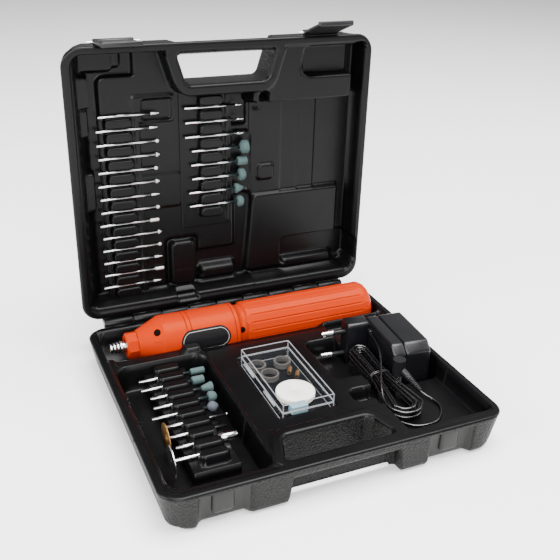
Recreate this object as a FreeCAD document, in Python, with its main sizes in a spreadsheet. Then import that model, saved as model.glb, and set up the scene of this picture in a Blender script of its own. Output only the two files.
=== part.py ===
import FreeCAD, Part
import Sketcher
import math
import os

# Rotary tool kit in a hinged carrying case, shown open.
# X runs right, Y runs back to the hinge, Z runs up; the origin is the centre of the underside.

Vector = FreeCAD.Vector
Rotation = FreeCAD.Rotation
Placement = FreeCAD.Placement

SIZES = {
    # case
    "end_wall": 7.0,
    "rear_wall": 6.9,
    "side_wall": 6.8,
    "base_height": 27.0,
    "lid_trim": 3.0,
    "lid_depth": 25.0,
    "tool_hollow_depth": 15.7,
    "bay_hollow_depth": 20.5,
    "step_hollow_depth": 15.2,
    "case_corner": 14.0,
    "case_edge": 5.0,
    "side_draft": 5.2,
    "front_draft": 1.4,
    "hinge_gap": 4.3,
    "hinge_radius": 4.0,
    "hinge_span": 206.0,
    "hinge_pin_radius": 1.2,
    "seam": 0.2,
    "air_gap": 0.3,
    "pin_play": 0.05,
    "bar_depth": 10.7,
    "bar_height": 9.0,
    "grip_hole_front": 38.0,
    "grip_hole_rear": 31.0,
    "grip_hole_depth": 22.5,
    "pocket_corner": 6.0,
    "lid_corner_radius": 3.0,
    "bit_bay_inset": 11.0,
    "bit_bay_width": 61.5,
    "bay_front_wall": 14.2,
    "bay_front_air": 19.1,
    "land_wall": 4.0,
    "deck_left": -42.0,
    "deck_front": -60.0,
    "lead_bay_left": 49.0,
    "lead_bay_front_wall": 12.2,
    "pin_recess_left": 34.0,
    "pin_recess_level": 9.0,
    "rear_shelf_level": 16.0,
    "seat_play": 0.6,
    # latches
    "latch_left_centre": -80.5,
    "latch_right_centre": 75.5,
    "latch_width": 28.0,
    "latch_length": 28.0,
    "latch_thickness": 2.4,
    "latch_setback": 6.0,
    "latch_rise": 1.6,
    "latch_play": 1.5,
    "latch_barrel": 2.3,
    "latch_pin_radius": 1.0,
    "latch_recess": 3.2,
    "ear_width": 2.6,
    "keeper_width": 15.0,
    "keeper_height": 12.0,
    "keeper_top": 3.0,
    "keeper_reach": 1.6,
    "keeper_play": 0.5,
    "latch_left_open": 4.0,
    "latch_right_open": 20.0,
    # tool
    "trough_front_play": 5.5,
    "trough_rear_play": 1.5,
    "tool_sink": 4.5,
    "tool_radius": 18.9,
    "grip_radius": 18.6,
    "grip_bore": 16.0,
    "grip_facets": 18,
    "housing_wall": 2.2,
    "neck_radius": 16.5,
    "nose_start": 11.5,
    "nose_end": 20.0,
    "nose_radius": 10.3,
    "cone_end": 38.5,
    "housing_end": 97.7,
    "grip_start": 103.5,
    "grip_end": 206.0,
    "tail_length": 9.0,
    "tail_round": 7.5,
    "trough_play": 0.5,
    "spindle_radius": 2.0,
    "motor_radius": 13.85,
    "motor_start": 44.0,
    "motor_length": 37.8,
    "motor_wall": 1.2,
    "motor_shaft_radius": 1.15,
    "bearing_radius": 6.5,
    "bearing_width": 5.0,
    "label_start": 50.0,
    "label_length": 39.0,
    "label_height": 17.0,
    "screw_radius": 1.55,
    "switch_start": 65.0,
    "switch_travel": 4.0,
    "switch_length": 12.0,
    "switch_width": 6.0,
    "switch_angle": 60.0,
    # bits
    "shank_radius": 1.175,
    "slot_play": 0.05,
    "base_row_pitch": 11.5,
    "first_row_inset": 26.9,
    "base_bit_sink": 8.0,
    "lid_row_pitch": 10.38,
    "lid_left_first": 153.1,
    "lid_bit_sink": 16.3,
    "right_row_pitch": 11.04,
    "lid_right_first": 155.2,
    "right_bit_sink": 14.0,
    "pad_inset": 30.0,
    "pad_width": 26.0,
    "wheel_radius": 10.5,
    "drum_start": 52.3,
    "drum_length": 13.2,
    "drum_radius": 2.9,
    "stone_radius": 3.75,
    # case levels, measured up from the floor
    "deck_level": 23.0,
    "bay_level": 6.0,
    "table_level": 17.0,
    "shelf_level": 13.2,
    "pocket_level": 4.0,
    # adapter
    "adapter_inset": 24.8,
    "adapter_y": 1.0,
    "adapter_width": 30.0,
    "adapter_length": 56.0,
    "adapter_height": 37.0,
    "adapter_turn": -4.0,
    "adapter_bevel": 6.0,
    "adapter_wall": 2.0,
    "cover_depth": 10.0,
    "vent_pitch": 4.0,
    "vent_width": 1.2,
    "core_length": 34.0,
    "core_height": 28.0,
    "coil_height": 15.6,
    "board_length": 48.0,
    "board_height": 26.0,
    "board_thickness": 1.6,
    "block_reach": 17.0,
    "block_height": 35.3,
    "block_width": 13.7,
    "block_tip": 6.4,
    "block_y": 21.2,
    "plug_pin_radius": 2.0,
    "plug_pin_length": 19.0,
    "plug_pin_spacing": 18.6,
    "sleeve_length": 10.0,
    "sleeve_radius": 1.7,
    # lead
    "lead_diameter": 1.6,
    "strand_pitch": 2.06,
    "hank_layers": 4,
    "layer_turns": 2,
    "relief_length": 14.0,
    "relief_ribs": 9,
    "barrel_radius": 2.75,
    "barrel_length": 9.5,
    "barrel_bore_radius": 1.25,
    "plug_neck": 8.5,
    "plug_body_radius": 4.6,
    "plug_body_height": 12.0,
    "tie_wall": 1.1,
    "tie_width": 3.0,
    # clear box
    "clear_box_x": -1.0,
    "clear_box_y": -9.0,
    "felt_room": 5.8,
    "band_room": 38.05,
    "clear_box_height": 14.0,
    "clear_wall": 1.2,
    "box_fit": 0.2,
    "skirt_height": 9.0,
    "box_knuckle": 1.0,
    "lip_height": 2.5,
    "felt_radius": 13.75,
    "felt_thickness": 4.4,
    "stone_inset": 4.0,
    "stone_width": 6.3,
    "stone_length": 12.0,
    "stone_gap": 1.15,
    "band_radius": 6.4,
    "band_height": 4.0,
    "band_wall": 1.4,
}

doc = FreeCAD.newDocument("RotaryToolKit")
sheet = doc.addObject("Spreadsheet::Sheet", "Sizes")
for row, (word, number) in enumerate(SIZES.items(), start=1):
    sheet.set("A%d" % row, word)
    sheet.set("B%d" % row, str(number))
    sheet.setAlias("B%d" % row, word)
doc.recompute()


class Size:
    """A number that also knows its formula in the sheet."""

    def __init__(self, value, text):
        self.value = float(value)
        self.text = text

    def __add__(self, other):
        other = size(other)
        return Size(self.value + other.value, "(%s + %s)" % (self.text, other.text))

    def __sub__(self, other):
        other = size(other)
        return Size(self.value - other.value, "(%s - %s)" % (self.text, other.text))

    def __mul__(self, other):
        other = size(other)
        return Size(self.value * other.value, "(%s * %s)" % (self.text, other.text))

    def __truediv__(self, other):
        other = size(other)
        return Size(self.value / other.value, "(%s / %s)" % (self.text, other.text))

    def __radd__(self, other):
        return size(other) + self

    def __rsub__(self, other):
        return size(other) - self

    def __rmul__(self, other):
        return size(other) * self

    def __neg__(self):
        return size(0) - self


def size(thing):
    if isinstance(thing, Size):
        return thing
    return Size(thing, "%.6g" % thing)


def cosine(degrees):
    return Size(math.cos(math.radians(degrees.value)), "cos(%s * 1 deg)" % degrees.text)


def sine(degrees):
    return Size(math.sin(math.radians(degrees.value)), "sin(%s * 1 deg)" % degrees.text)


class Names:
    pass


s = Names()
for word in SIZES:
    setattr(s, word, Size(SIZES[word], "Sizes.%s" % word))
s.tool_length = s.grip_end + s.tail_length
s.case_depth = (s.rear_wall + (s.tool_radius + s.trough_play) * 2 + s.first_row_inset + s.base_row_pitch * 8
                + s.wheel_radius + s.bay_front_air + s.bay_front_wall)
s.lid_length = s.case_depth - s.lid_trim
s.case_width = s.tool_length + s.trough_front_play + s.trough_rear_play + s.end_wall * 2
s.tool_start = -s.case_width / 2 + s.end_wall + s.trough_front_play
s.tool_y = s.case_depth / 2 - s.rear_wall - s.tool_radius - s.trough_play
s.adapter_x = s.case_width / 2 - s.adapter_inset
s.clear_box_width = s.felt_radius * 2 + (s.clear_wall * 2 + s.box_fit) * 2 + s.felt_room
s.clear_box_length = s.stone_inset + s.stone_width + s.stone_gap + s.felt_radius * 2 + s.band_room

NODES = []


def bind(thing, **paths):
    for path, formula in paths.items():
        name = path.replace("__", ".")
        formula = size(formula)
        if "." not in name:
            setattr(thing, name, formula.value)
        thing.setExpression(name, formula.text)


def move_to(thing, x, y, z):
    bind(thing, Placement__Base__x=x, Placement__Base__y=y, Placement__Base__z=z)
    return thing


def block(name, across, along, up):
    """A box between two sizes on each axis."""
    box = doc.addObject("Part::Box", name)
    bind(box, Length=size(across[1]) - across[0], Width=size(along[1]) - along[0], Height=size(up[1]) - up[0])
    return move_to(box, across[0], along[0], up[0])


AXES = {
    "X": Rotation(Vector(0, 1, 0), 90),
    "Y": Rotation(Vector(1, 0, 0), -90),
    "Z": Rotation(),
    "-X": Rotation(Vector(0, 1, 0), -90),
}


def rod(name, axis, start, radius, length):
    """A cylinder that starts at a point and runs along an axis."""
    thing = doc.addObject("Part::Cylinder", name)
    bind(thing, Radius=radius, Height=length)
    thing.Placement = Placement(Vector(), AXES[axis])
    return move_to(thing, *start)


def ball(name, centre, radius):
    thing = doc.addObject("Part::Sphere", name)
    bind(thing, Radius=radius)
    return move_to(thing, *centre)


def prism(name, start, sides, radius, length):
    thing = doc.addObject("Part::Prism", name)
    thing.Polygon = int(sides.value)
    bind(thing, Circumradius=radius, Height=length)
    thing.Placement = Placement(Vector(), AXES["X"])
    return move_to(thing, *start)


def fuse(name, parts):
    thing = doc.addObject("Part::MultiFuse", name)
    thing.Shapes = list(parts)
    return thing


def cut(name, base, tools):
    thing = doc.addObject("Part::Cut", name)
    thing.Base = base
    thing.Tool = tools[0] if len(tools) == 1 else fuse(name + "_tools", tools)
    return thing


def common(name, parts):
    thing = doc.addObject("Part::MultiCommon", name)
    thing.Shapes = list(parts)
    return thing


def group(name, parts):
    thing = doc.addObject("Part::Compound", name)
    thing.Links = list(parts)
    return thing


def rounded(name, across, along, up, radius):
    """A box with its four upright edges rounded."""
    box = block(name + "_box", across, along, up)
    thing = doc.addObject("Part::Fillet", name)
    thing.Base = box
    thing.Edges = [(edge, size(radius).value, size(radius).value) for edge in (1, 3, 5, 7)]
    return thing


def own_plane(body, role):
    return [feature for feature in body.Origin.OriginFeatures if feature.Role == role][0]


def outline(body, name, role, points):
    """A closed sketch with each corner held by the sheet."""
    sketch = body.newObject("Sketcher::SketchObject", name)
    sketch.AttachmentSupport = [(own_plane(body, role), "")]
    sketch.MapMode = "FlatFace"
    points = [(size(a), size(b)) for a, b in points]
    count = len(points)
    for index in range(count):
        begin = points[index]
        end = points[(index + 1) % count]
        line = Part.LineSegment(Vector(begin[0].value, begin[1].value, 0),
                                Vector(end[0].value, end[1].value, 0))
        sketch.addGeometry(line, False)
    for index in range(count):
        sketch.addConstraint(Sketcher.Constraint("Coincident", index, 2, (index + 1) % count, 1))
    for index, corner in enumerate(points):
        for kind, distance, axis in (("DistanceX", corner[0], -2), ("DistanceY", corner[1], -1)):
            if abs(distance.value) < 1e-9:
                sketch.addConstraint(Sketcher.Constraint("PointOnObject", index, 1, axis))
                continue
            pinned = sketch.addConstraint(Sketcher.Constraint(kind, -1, 1, index, 1, distance.value))
            sketch.setExpression("Constraints[%d]" % pinned, distance.text)
    return sketch


def turned(name, profile, x, y, z, axis="X"):
    """A turned piece: its profile is (distance along, radius) about its own X axis."""
    body = doc.addObject("PartDesign::Body", name)
    sketch = outline(body, name + "_profile", "XZ_Plane", profile)
    turn = body.newObject("PartDesign::Revolution", name + "_turn")
    turn.Profile = sketch
    turn.ReferenceAxis = (sketch, ["H_Axis"])
    turn.Angle = 360.0
    sketch.Visibility = False
    directions = {"X": Rotation(), "-X": Rotation(Vector(0, 0, 1), 180), "-Z": Rotation(Vector(0, 1, 0), 90)}
    body.Placement = Placement(Vector(), directions[axis])
    return move_to(body, x, y, z)


def padded(name, role, points, height, x, y, z, turn=None):
    """An outline pushed out to a height."""
    body = doc.addObject("PartDesign::Body", name)
    sketch = outline(body, name + "_outline", role, points)
    pad = body.newObject("PartDesign::Pad", name + "_pad")
    pad.Profile = sketch
    bind(pad, Length=height)
    sketch.Visibility = False
    if turn is not None:
        body.Placement = Placement(Vector(), turn)
    return move_to(body, x, y, z)


def ring(name, bore, radius, width, x, y, z, axis="X"):
    return turned(name, [(0, bore), (width, bore), (width, radius), (0, radius)], x, y, z, axis)


def keep(thing, label):
    thing.Label = label
    NODES.append(thing)
    return thing


def shaped(label, shape):
    thing = doc.addObject("Part::Feature", label)
    thing.Shape = shape
    thing.Placement = Placement()
    return keep(thing, label)


# Frame values that several pieces share

case_front = -s.case_depth / 2
case_rear = s.case_depth / 2
half_width = s.case_width / 2
hinge_y = case_rear + s.hinge_gap
rim = s.base_height
lid_y = hinge_y + s.seam
lid_z = rim + s.hinge_gap
tool_z = rim - s.tool_sink
trough_radius = s.tool_radius + s.trough_play
shank_slot = s.shank_radius + s.slot_play
hinge_count = 9
hinge_step = s.hinge_span / hinge_count
grip_hole_y = case_front + s.bar_depth


def lid_block(name, across, up, deep):
    """A box in the lid: X, height above the hinge edge, depth behind the rim."""
    return block(name, across, (lid_y + deep[0], lid_y + deep[1]), (lid_z + up[0], lid_z + up[1]))


def soften(name, base, radius, picks):
    """Round the edges that a test picks out."""
    doc.recompute()
    edges = [index for index, edge in enumerate(base.Shape.Edges, start=1) if picks(edge)]
    thing = doc.addObject("Part::Fillet", name)
    thing.Base = base
    thing.Edges = [(index, radius.value, radius.value) for index in edges]
    doc.recompute()
    return thing


def drafted_base():
    wedge = doc.addObject("Part::Wedge", "base_block")
    bind(wedge, Xmin=-half_width + s.side_draft, Xmax=half_width - s.side_draft)
    bind(wedge, X2min=-half_width, X2max=half_width, Ymin=0, Ymax=s.base_height)
    bind(wedge, Zmin=case_front + s.front_draft, Zmax=case_rear - s.front_draft, Z2min=case_front,
         Z2max=case_rear)
    wedge.Placement = Placement(Vector(), Rotation(Vector(1, 0, 0), 90))
    top = s.base_height.value

    def slanted(edge):
        heights = [vertex.Point.z for vertex in edge.Vertexes]
        return abs(heights[0] - heights[1]) > top / 2

    def low(edge):
        return edge.BoundBox.ZMax < top * 0.1

    return soften("base_edged", soften("base_cornered", wedge, s.case_corner, slanted), s.case_edge, low)


def drafted_lid():
    wedge = doc.addObject("Part::Wedge", "lid_slab")
    bind(wedge, Xmin=-half_width, Xmax=half_width, X2min=-half_width + s.side_draft,
         X2max=half_width - s.side_draft)
    bind(wedge, Ymin=0, Ymax=s.lid_depth, Zmin=0, Zmax=s.lid_length)
    bind(wedge, Z2min=s.front_draft, Z2max=s.lid_length - s.front_draft)
    move_to(wedge, 0, lid_y, lid_z)
    inner = lid_y.value
    deep = s.lid_depth.value

    def slanted(edge):
        places = [vertex.Point.y for vertex in edge.Vertexes]
        return abs(places[0] - places[1]) > deep / 2

    def back(edge):
        return edge.BoundBox.YMin > inner + deep * 0.9

    return soften("lid_edged", soften("lid_cornered", wedge, s.case_corner, slanted), s.case_edge, back)


def grip_hole(name, low, height):
    """The tapered hand hole, wide at the carrying bar."""
    corners = [
        (-s.grip_hole_front, 0),
        (s.grip_hole_front, 0),
        (s.grip_hole_rear, s.grip_hole_depth),
        (-s.grip_hole_rear, s.grip_hole_depth),
    ]
    return padded(name, "XY_Plane", corners, height, 0, grip_hole_y, low)


def knuckles(name, remainder, side):
    """Every second hinge knuckle with the web that carries it."""
    pieces = []
    for index in range(hinge_count):
        if index % 2 != remainder:
            continue
        start = -s.hinge_span / 2 + hinge_step * index + s.air_gap / 2
        length = hinge_step - s.air_gap
        barrel = "%s_barrel_%d" % (name, index)
        pieces.append(rod(barrel, "X", (start, hinge_y, rim), s.hinge_radius, length))
        web = "%s_web_%d" % (name, index)
        if side == "base":
            pieces.append(block(web, (start, start + length), (case_rear - 4, hinge_y),
                                (rim - s.hinge_radius, rim)))
        else:
            pieces.append(block(web, (start, start + length), (lid_y, lid_y + s.hinge_radius),
                                (rim, lid_z + 4)))
    return pieces


def pin_bore(name):
    start = -s.hinge_span / 2 - 1
    return rod(name, "X", (start, hinge_y, rim), s.hinge_pin_radius + s.pin_play, s.hinge_span + 2)


LATCHES = (("left", s.latch_left_centre), ("right", s.latch_right_centre))
latch_window_low = s.keeper_top + s.keeper_height + s.keeper_play
keeper_face = case_front + s.latch_recess


def base_bit_row(index):
    """The rows run forward from the land in front of the tool."""
    return s.tool_y - trough_radius - s.first_row_inset - s.base_row_pitch * index


def adapter_spot(along, across):
    """A place on the adapter, turned with it in its bay."""
    turn = s.adapter_turn
    return (s.adapter_x + along * cosine(turn) - across * sine(turn),
            s.adapter_y + along * sine(turn) + across * cosine(turn))


# Case base

def case_base():
    hollows = []
    hollows.append(grip_hole("base_grip_hole", 0, rim + 1))
    hollows.append(block("bar_underside", (-s.grip_hole_front, s.grip_hole_front),
                         (case_front - 1, grip_hole_y + 1), (-1, rim - s.bar_height)))
    for side, centre in LATCHES:
        reach = s.latch_width / 2 + s.latch_play
        hollows.append(block("base_recess_" + side, (centre - reach, centre + reach),
                             (case_front - 1, keeper_face), (-1, rim + 1)))
    trough_ends = (-half_width + s.end_wall, half_width - s.end_wall)
    hollows.append(rod("trough_round", "X", (trough_ends[0], s.tool_y, tool_z), trough_radius,
                       trough_ends[1] - trough_ends[0]))
    hollows.append(block("trough_top", trough_ends, (s.tool_y - trough_radius, s.tool_y + trough_radius),
                         (tool_z, rim + 1)))
    right_wall = half_width - s.side_wall
    bay_rear = base_bit_row(0) + s.base_row_pitch
    trough_edge = s.tool_y - trough_radius
    bay_left = -half_width + s.bit_bay_inset
    hollows.append(rounded("bit_bay", (bay_left, bay_left + s.bit_bay_width),
                           (case_front + s.bay_front_wall, bay_rear), (s.bay_level, rim + 1),
                           s.pocket_corner))
    hollows.append(rounded("deck", (s.deck_left, right_wall), (s.deck_front, trough_edge + 1),
                           (s.deck_level, rim + 1), s.lid_corner_radius))
    hollows.append(block("trough_front_land", (bay_left, s.deck_left + 1),
                         (bay_rear + s.land_wall, trough_edge + 1), (s.deck_level, rim + 1)))
    box_half = (s.clear_box_width / 2 + s.seat_play, s.clear_box_length / 2 + s.seat_play)
    hollows.append(block("clear_box_seat",
                         (s.clear_box_x - box_half[0] - s.box_knuckle * 2, s.clear_box_x + box_half[0]),
                         (s.clear_box_y - box_half[1], s.clear_box_y + box_half[1]),
                         (s.table_level, rim + 1)))
    plug_x, plug_y = adapter_spot(-s.adapter_width / 2 - s.block_reach / 2, s.block_y)
    plug_rear = plug_y + s.block_width / 2 + 1.5
    hollows.append(rounded("lead_bay", (s.lead_bay_left, right_wall),
                           (case_front + s.lead_bay_front_wall, plug_rear),
                           (s.shelf_level, rim + 1), s.pocket_corner))
    bay_half = (s.adapter_width / 2 + 2.8, s.adapter_length / 2 + 3)
    hollows.append(rounded("adapter_bay", (s.adapter_x - bay_half[0], s.adapter_x + bay_half[0]),
                           (s.adapter_y - bay_half[1], s.adapter_y + bay_half[1]),
                           (s.pocket_level, rim + 1), s.lid_corner_radius))
    plug_left = plug_x - s.block_reach / 2 - 2.5
    hollows.append(block("plug_bay", (plug_left, s.adapter_x), (plug_y - s.block_width / 2 - 1.5, plug_rear),
                         (s.pocket_level, rim + 1)))
    hollows.append(block("rear_shelf", (plug_left, right_wall), (plug_rear - 1, trough_edge - 2.5),
                         (s.rear_shelf_level, rim + 1)))
    hollows.append(block("plug_pin_recess", (s.pin_recess_left, plug_left + 1), (-19, plug_rear),
                         (s.pin_recess_level, rim + 1)))
    hollows.append(block("finger_notch", (35, s.lead_bay_left + 1), (-49, -37), (s.shelf_level, rim + 1)))
    added = [cut("base_hollowed", drafted_base(), hollows)]
    added += knuckles("base_knuckle", 0, "base")
    pad_left = -half_width + s.pad_inset
    added.append(block("bit_pad", (pad_left, pad_left + s.pad_width),
                       (base_bit_row(9) - 5, base_bit_row(0) + 4.4),
                       (s.bay_level - 1, rim - s.base_bit_sink + 1.8)))
    added.append(block("tongue", (s.lead_bay_left - 1, s.lead_bay_left + 5), (-36, -21),
                       (s.shelf_level - 1, s.deck_level)))
    added.append(rounded("tool_stop", (s.deck_left - 15, s.deck_left - 1), (trough_edge - 8.5, trough_edge),
                         (s.deck_level - 1, rim + 0.8), 2))
    for side, centre in LATCHES:
        added.append(block("keeper_" + side, (centre - s.keeper_width / 2, centre + s.keeper_width / 2),
                           (keeper_face - s.keeper_reach, keeper_face + 2),
                           (rim - s.keeper_top - s.keeper_height, rim - s.keeper_top)))
    body = fuse("base_raised", added)
    slots = [pin_bore("base_pin_bore")]
    drum_row = base_bit_row(7)
    drum_half = s.drum_radius + s.slot_play
    slots.append(block("drum_seat", (-half_width + s.drum_start - 0.4, pad_left + s.pad_width + 1),
                       (drum_row - drum_half, drum_row + drum_half),
                       (rim - s.base_bit_sink - drum_half, rim)))
    for index in range(9):
        row = base_bit_row(index)
        low = rim - s.base_bit_sink - shank_slot
        slots.append(block("base_slot_%d" % index, (pad_left - 1, pad_left + s.pad_width + 1),
                           (row - shank_slot, row + shank_slot), (low, rim)))
    for index in range(hinge_count):
        if index % 2 == 1:
            start = -s.hinge_span / 2 + hinge_step * index
            slots.append(block("knuckle_gap_%d" % index, (start - 0.01, start + hinge_step + 0.01),
                               (case_rear - 0.4, hinge_y), (rim - s.hinge_radius - 1, rim + 1)))
    return keep(cut("base_finished", body, slots), "case_base")


# Lid

def lid_row(index):
    return lid_z + s.lid_left_first - s.lid_row_pitch * index


def right_row(index):
    return lid_z + s.lid_right_first - s.right_row_pitch * index


def lid_hollows():
    """Hollows over what stands up in the base, each placed by its own piece, and three small corners."""
    right_end = half_width - s.side_wall + 0.8
    tool_up = case_rear - s.tool_y
    box_up = case_rear - s.clear_box_y
    adapter_up = case_rear - s.adapter_y
    top = s.lid_length
    deep = s.bay_hollow_depth
    bay = -half_width + s.bit_bay_inset
    return [
        lid_block("lid_tool_hollow", (bay - 5, right_end + 0.5), (tool_up - 22.3, tool_up + 25.7),
                  (-1, s.tool_hollow_depth)),
        lid_block("lid_left_hollow", (bay - 1, s.deck_left), (14, top - 37.4), (-1, deep)),
        lid_block("lid_box_hollow", (s.clear_box_x - 35, s.clear_box_x + 27), (box_up - 51.2, box_up + 56.8),
                  (-1, deep)),
        lid_block("lid_step_one", (s.adapter_x - 65.2, right_end), (adapter_up - 53.2, adapter_up + 46.8),
                  (-1, s.step_hollow_depth)),
        lid_block("lid_step_two", (s.adapter_x - 25.2, right_end), (adapter_up - 37.2, adapter_up + 46.8),
                  (-1, s.step_hollow_depth + 2.4)),
        lid_block("lid_step_three", (s.adapter_x - 11.2, right_end), (adapter_up - 37.2, adapter_up + 46.8),
                  (-1, deep)),
        lid_block("lid_corner_right", (right_end - 52, right_end - 2), (top - 31.4, top - 9.4), (-1, 12)),
        lid_block("lid_corner_left", (bay - 3, bay + 23), (top - 22.4, top - 7.4), (-1, 8)),
        lid_block("lid_thumb_notch", (bay + 27, bay + 41), (top - 29.4, top - 7.4), (-1, 8)),
    ]


def latch_axis():
    return lid_y + s.latch_setback, lid_z + s.lid_length + s.latch_rise


def case_lid():
    hollows = []
    hole_low = lid_z + case_rear - (grip_hole_y + s.grip_hole_depth)
    corners = [
        (-s.grip_hole_rear, 0),
        (s.grip_hole_rear, 0),
        (s.grip_hole_front, s.grip_hole_depth),
        (-s.grip_hole_front, s.grip_hole_depth),
    ]
    hollows.append(padded("lid_grip_hole", "XZ_Plane", corners, s.lid_depth + 4,
                          0, lid_y + s.lid_depth + 2, hole_low))
    hollows.append(block("lid_bar_back", (-s.grip_hole_front, s.grip_hole_front),
                         (lid_y + s.bar_height, lid_y + s.lid_depth + 1),
                         (hole_low + s.grip_hole_depth - 1, lid_z + s.lid_length + 1)))
    hollows += lid_hollows()
    wheel_place = lid_z + case_rear - base_bit_row(8)
    hollows.append(block("lid_wheel_room", (-half_width + 15.5, -half_width + 21.5), (lid_y - 1, lid_y + 4.5),
                         (wheel_place - 12, wheel_place + 12)))
    for side, centre in LATCHES:
        reach = s.latch_width / 2 + s.latch_play
        hollows.append(lid_block("lid_recess_" + side, (centre - reach, centre + reach),
                                 (s.lid_length - 2.2, s.lid_length + 1), (-1, s.latch_setback + 6)))
    added = [cut("lid_hollowed", drafted_lid(), hollows)]
    added += knuckles("lid_knuckle", 1, "lid")
    pad_face = s.lid_bit_sink - 1
    added.append(lid_block("lid_left_pad", (-94, -70), (14 - 1, 160), (pad_face, s.lid_depth - 3)))
    added.append(lid_block("lid_right_pad", (-19, 7), (70, 163), (s.right_bit_sink - 1, s.lid_depth - 3)))
    added.append(lid_block("lid_pillar", (30, 43), (93, 105), (9, 17)))
    axis_y, axis_z = latch_axis()
    for side, centre in LATCHES:
        for sign, end in ((-1, "outer"), (1, "inner")):
            edge = centre + (s.latch_width / 2 + s.latch_play) * sign
            near = edge if sign > 0 else edge - s.ear_width
            ear = "ear_%s_%s" % (side, end)
            added.append(rod(ear, "X", (near, axis_y, axis_z), s.latch_barrel + 0.3, s.ear_width))
            added.append(block(ear + "_foot", (near, near + s.ear_width),
                               (axis_y - s.latch_barrel - 0.3, axis_y + s.latch_barrel + 0.3),
                               (lid_z + s.lid_length - 3, axis_z)))
    body = fuse("lid_raised", added)
    slots = [pin_bore("lid_pin_bore")]
    for index in range(14):
        row = lid_row(index)
        deep = lid_y + s.lid_bit_sink + shank_slot
        slots.append(block("lid_slot_%d" % index, (-95, -69), (lid_y, deep),
                           (row - shank_slot, row + shank_slot)))
    for index in range(8):
        row = right_row(index)
        deep = lid_y + s.right_bit_sink + shank_slot
        slots.append(block("right_slot_%d" % index, (-20, 8), (lid_y, deep),
                           (row - shank_slot, row + shank_slot)))
    for side, centre in LATCHES:
        reach = s.latch_width / 2 + s.latch_play + s.ear_width + 1
        slots.append(rod("ear_bore_" + side, "X", (centre - reach, axis_y, axis_z),
                         s.latch_pin_radius + s.pin_play, reach * 2))
    return keep(cut("lid_finished", body, slots), "case_lid")


def hinge_pin():
    length = s.hinge_span - 0.6
    return keep(rod("hinge_rod", "X", (-length / 2, hinge_y, rim), s.hinge_pin_radius, length), "hinge_pin")


def latch_pins():
    axis_y, axis_z = latch_axis()
    pins = []
    for side, centre in LATCHES:
        reach = s.latch_width / 2 + s.latch_play + s.ear_width
        pins.append(rod("latch_rod_" + side, "X", (centre - reach, axis_y, axis_z), s.latch_pin_radius,
                        reach * 2))
    return keep(group("latch_rods", pins), "latch_pins")


def latch(side, centre, opening):
    """A flap drawn in its closed pose about its own pin, then turned to where the photo shows it."""
    half = s.latch_width / 2
    axis_y, axis_z = latch_axis()
    flap = block("flap_" + side, (-half, half), (-s.latch_length, 0),
                 (-s.latch_thickness / 2, s.latch_thickness / 2))
    barrel = rod("flap_barrel_" + side, "X", (-half, 0, 0), s.latch_barrel, s.latch_width)
    grip = block("flap_lip_" + side, (-half, half), (-s.latch_length, -s.latch_length + 2.4),
                 (-s.latch_thickness / 2, s.latch_thickness / 2 + 1.2))
    window_half = s.keeper_width / 2 + s.keeper_play
    window = block("flap_window_" + side, (-window_half, window_half),
                   (-s.latch_setback - latch_window_low, -s.latch_setback - s.keeper_top + s.keeper_play),
                   (-5, 5))
    bore = rod("flap_bore_" + side, "X", (-half - 1, 0, 0), s.latch_pin_radius + s.pin_play,
               s.latch_width + 2)
    flap_body = cut("flap_body_" + side, fuse("flap_solid_" + side, [flap, barrel, grip]), [window, bore])
    flap_body.Placement = Placement(Vector(), Rotation(Vector(1, 0, 0), -opening.value))
    move_to(flap_body, centre, axis_y, axis_z)
    return keep(flap_body, "latch_" + side)


# Rotary tool, its profile lengths measured from the collet end

def at_tool(along):
    return s.tool_start + along, s.tool_y, tool_z


def tool_shell():
    flats = prism("nose_flats", at_tool(s.nose_start), size(8), s.nose_radius, s.nose_end - s.nose_start)
    taper = turned("nose_taper", [(0, 0), (s.nose_end - s.nose_start, 0), (s.nose_end - s.nose_start, 12),
                                  (1.6, s.nose_radius), (0, s.nose_radius - 1.8)], *at_tool(s.nose_start))
    bore = rod("nose_bore", "X", at_tool(s.nose_start - 1), 5.6, 5)
    socket = rod("nose_socket", "X", at_tool(s.nose_start + 3), 8 + s.pin_play, 10)
    keep(cut("nose_cut", common("nose_blank", [flats, taper]), [bore, socket]), "nose_cap")

    outer = s.tool_radius
    inner = outer - s.housing_wall
    seat = s.bearing_radius + s.pin_play
    front = s.nose_start + 3
    cone_start = s.nose_end
    bearing_end = front + 4 + s.bearing_width + s.pin_play
    profile = [
        (0, 4.4), (4, 4.4), (4, seat), (bearing_end - front, seat), (bearing_end - front, 5),
        (s.cone_end - front - 4, 5), (s.cone_end - front, inner), (s.housing_end - front, inner),
        (s.housing_end - front, outer - 1), (s.housing_end - front - 1, outer),
        (s.housing_end - front - 3, outer),
        (s.housing_end - front - 3.5, outer - 0.7), (s.housing_end - front - 4, outer),
        (45.5, outer), (45, outer - 0.7), (44.5, outer), (42, outer),
        (41.5, outer - 0.7), (41, outer), (s.cone_end - front, outer),
        (cone_start - front + 0.2, s.nose_radius + 0.2),
        (cone_start - front + 0.2, 8), (0, 8),
    ]
    shell = turned("housing_turned", profile, *at_tool(front))
    angle = s.switch_angle
    slot_half = s.switch_width / 2 - 1
    slot = block("switch_slot", (-1, s.switch_length), (-slot_half, slot_half), (inner - 2, outer + 2))
    slot.Placement = Placement(Vector(), Rotation(Vector(1, 0, 0), -angle.value))
    move_to(slot, s.tool_start + s.switch_start + 1,
            s.tool_y + sine(angle) * (inner - 2) - cosine(angle) * slot_half,
            tool_z + cosine(angle) * (inner - 2) + sine(angle) * slot_half)
    screw_x = s.tool_start + s.cone_end - 5.3
    hole = rod("housing_screw_hole", "Y", (screw_x, s.tool_y - outer, tool_z + 9),
               s.screw_radius + s.pin_play, 12)
    keep(cut("housing_cut", shell, [slot, hole]), "front_housing")
    keep(rod("screw_rod", "Y", (screw_x, s.tool_y - 11.3, tool_z + 9), s.screw_radius, 4.35), "housing_screw")


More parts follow.
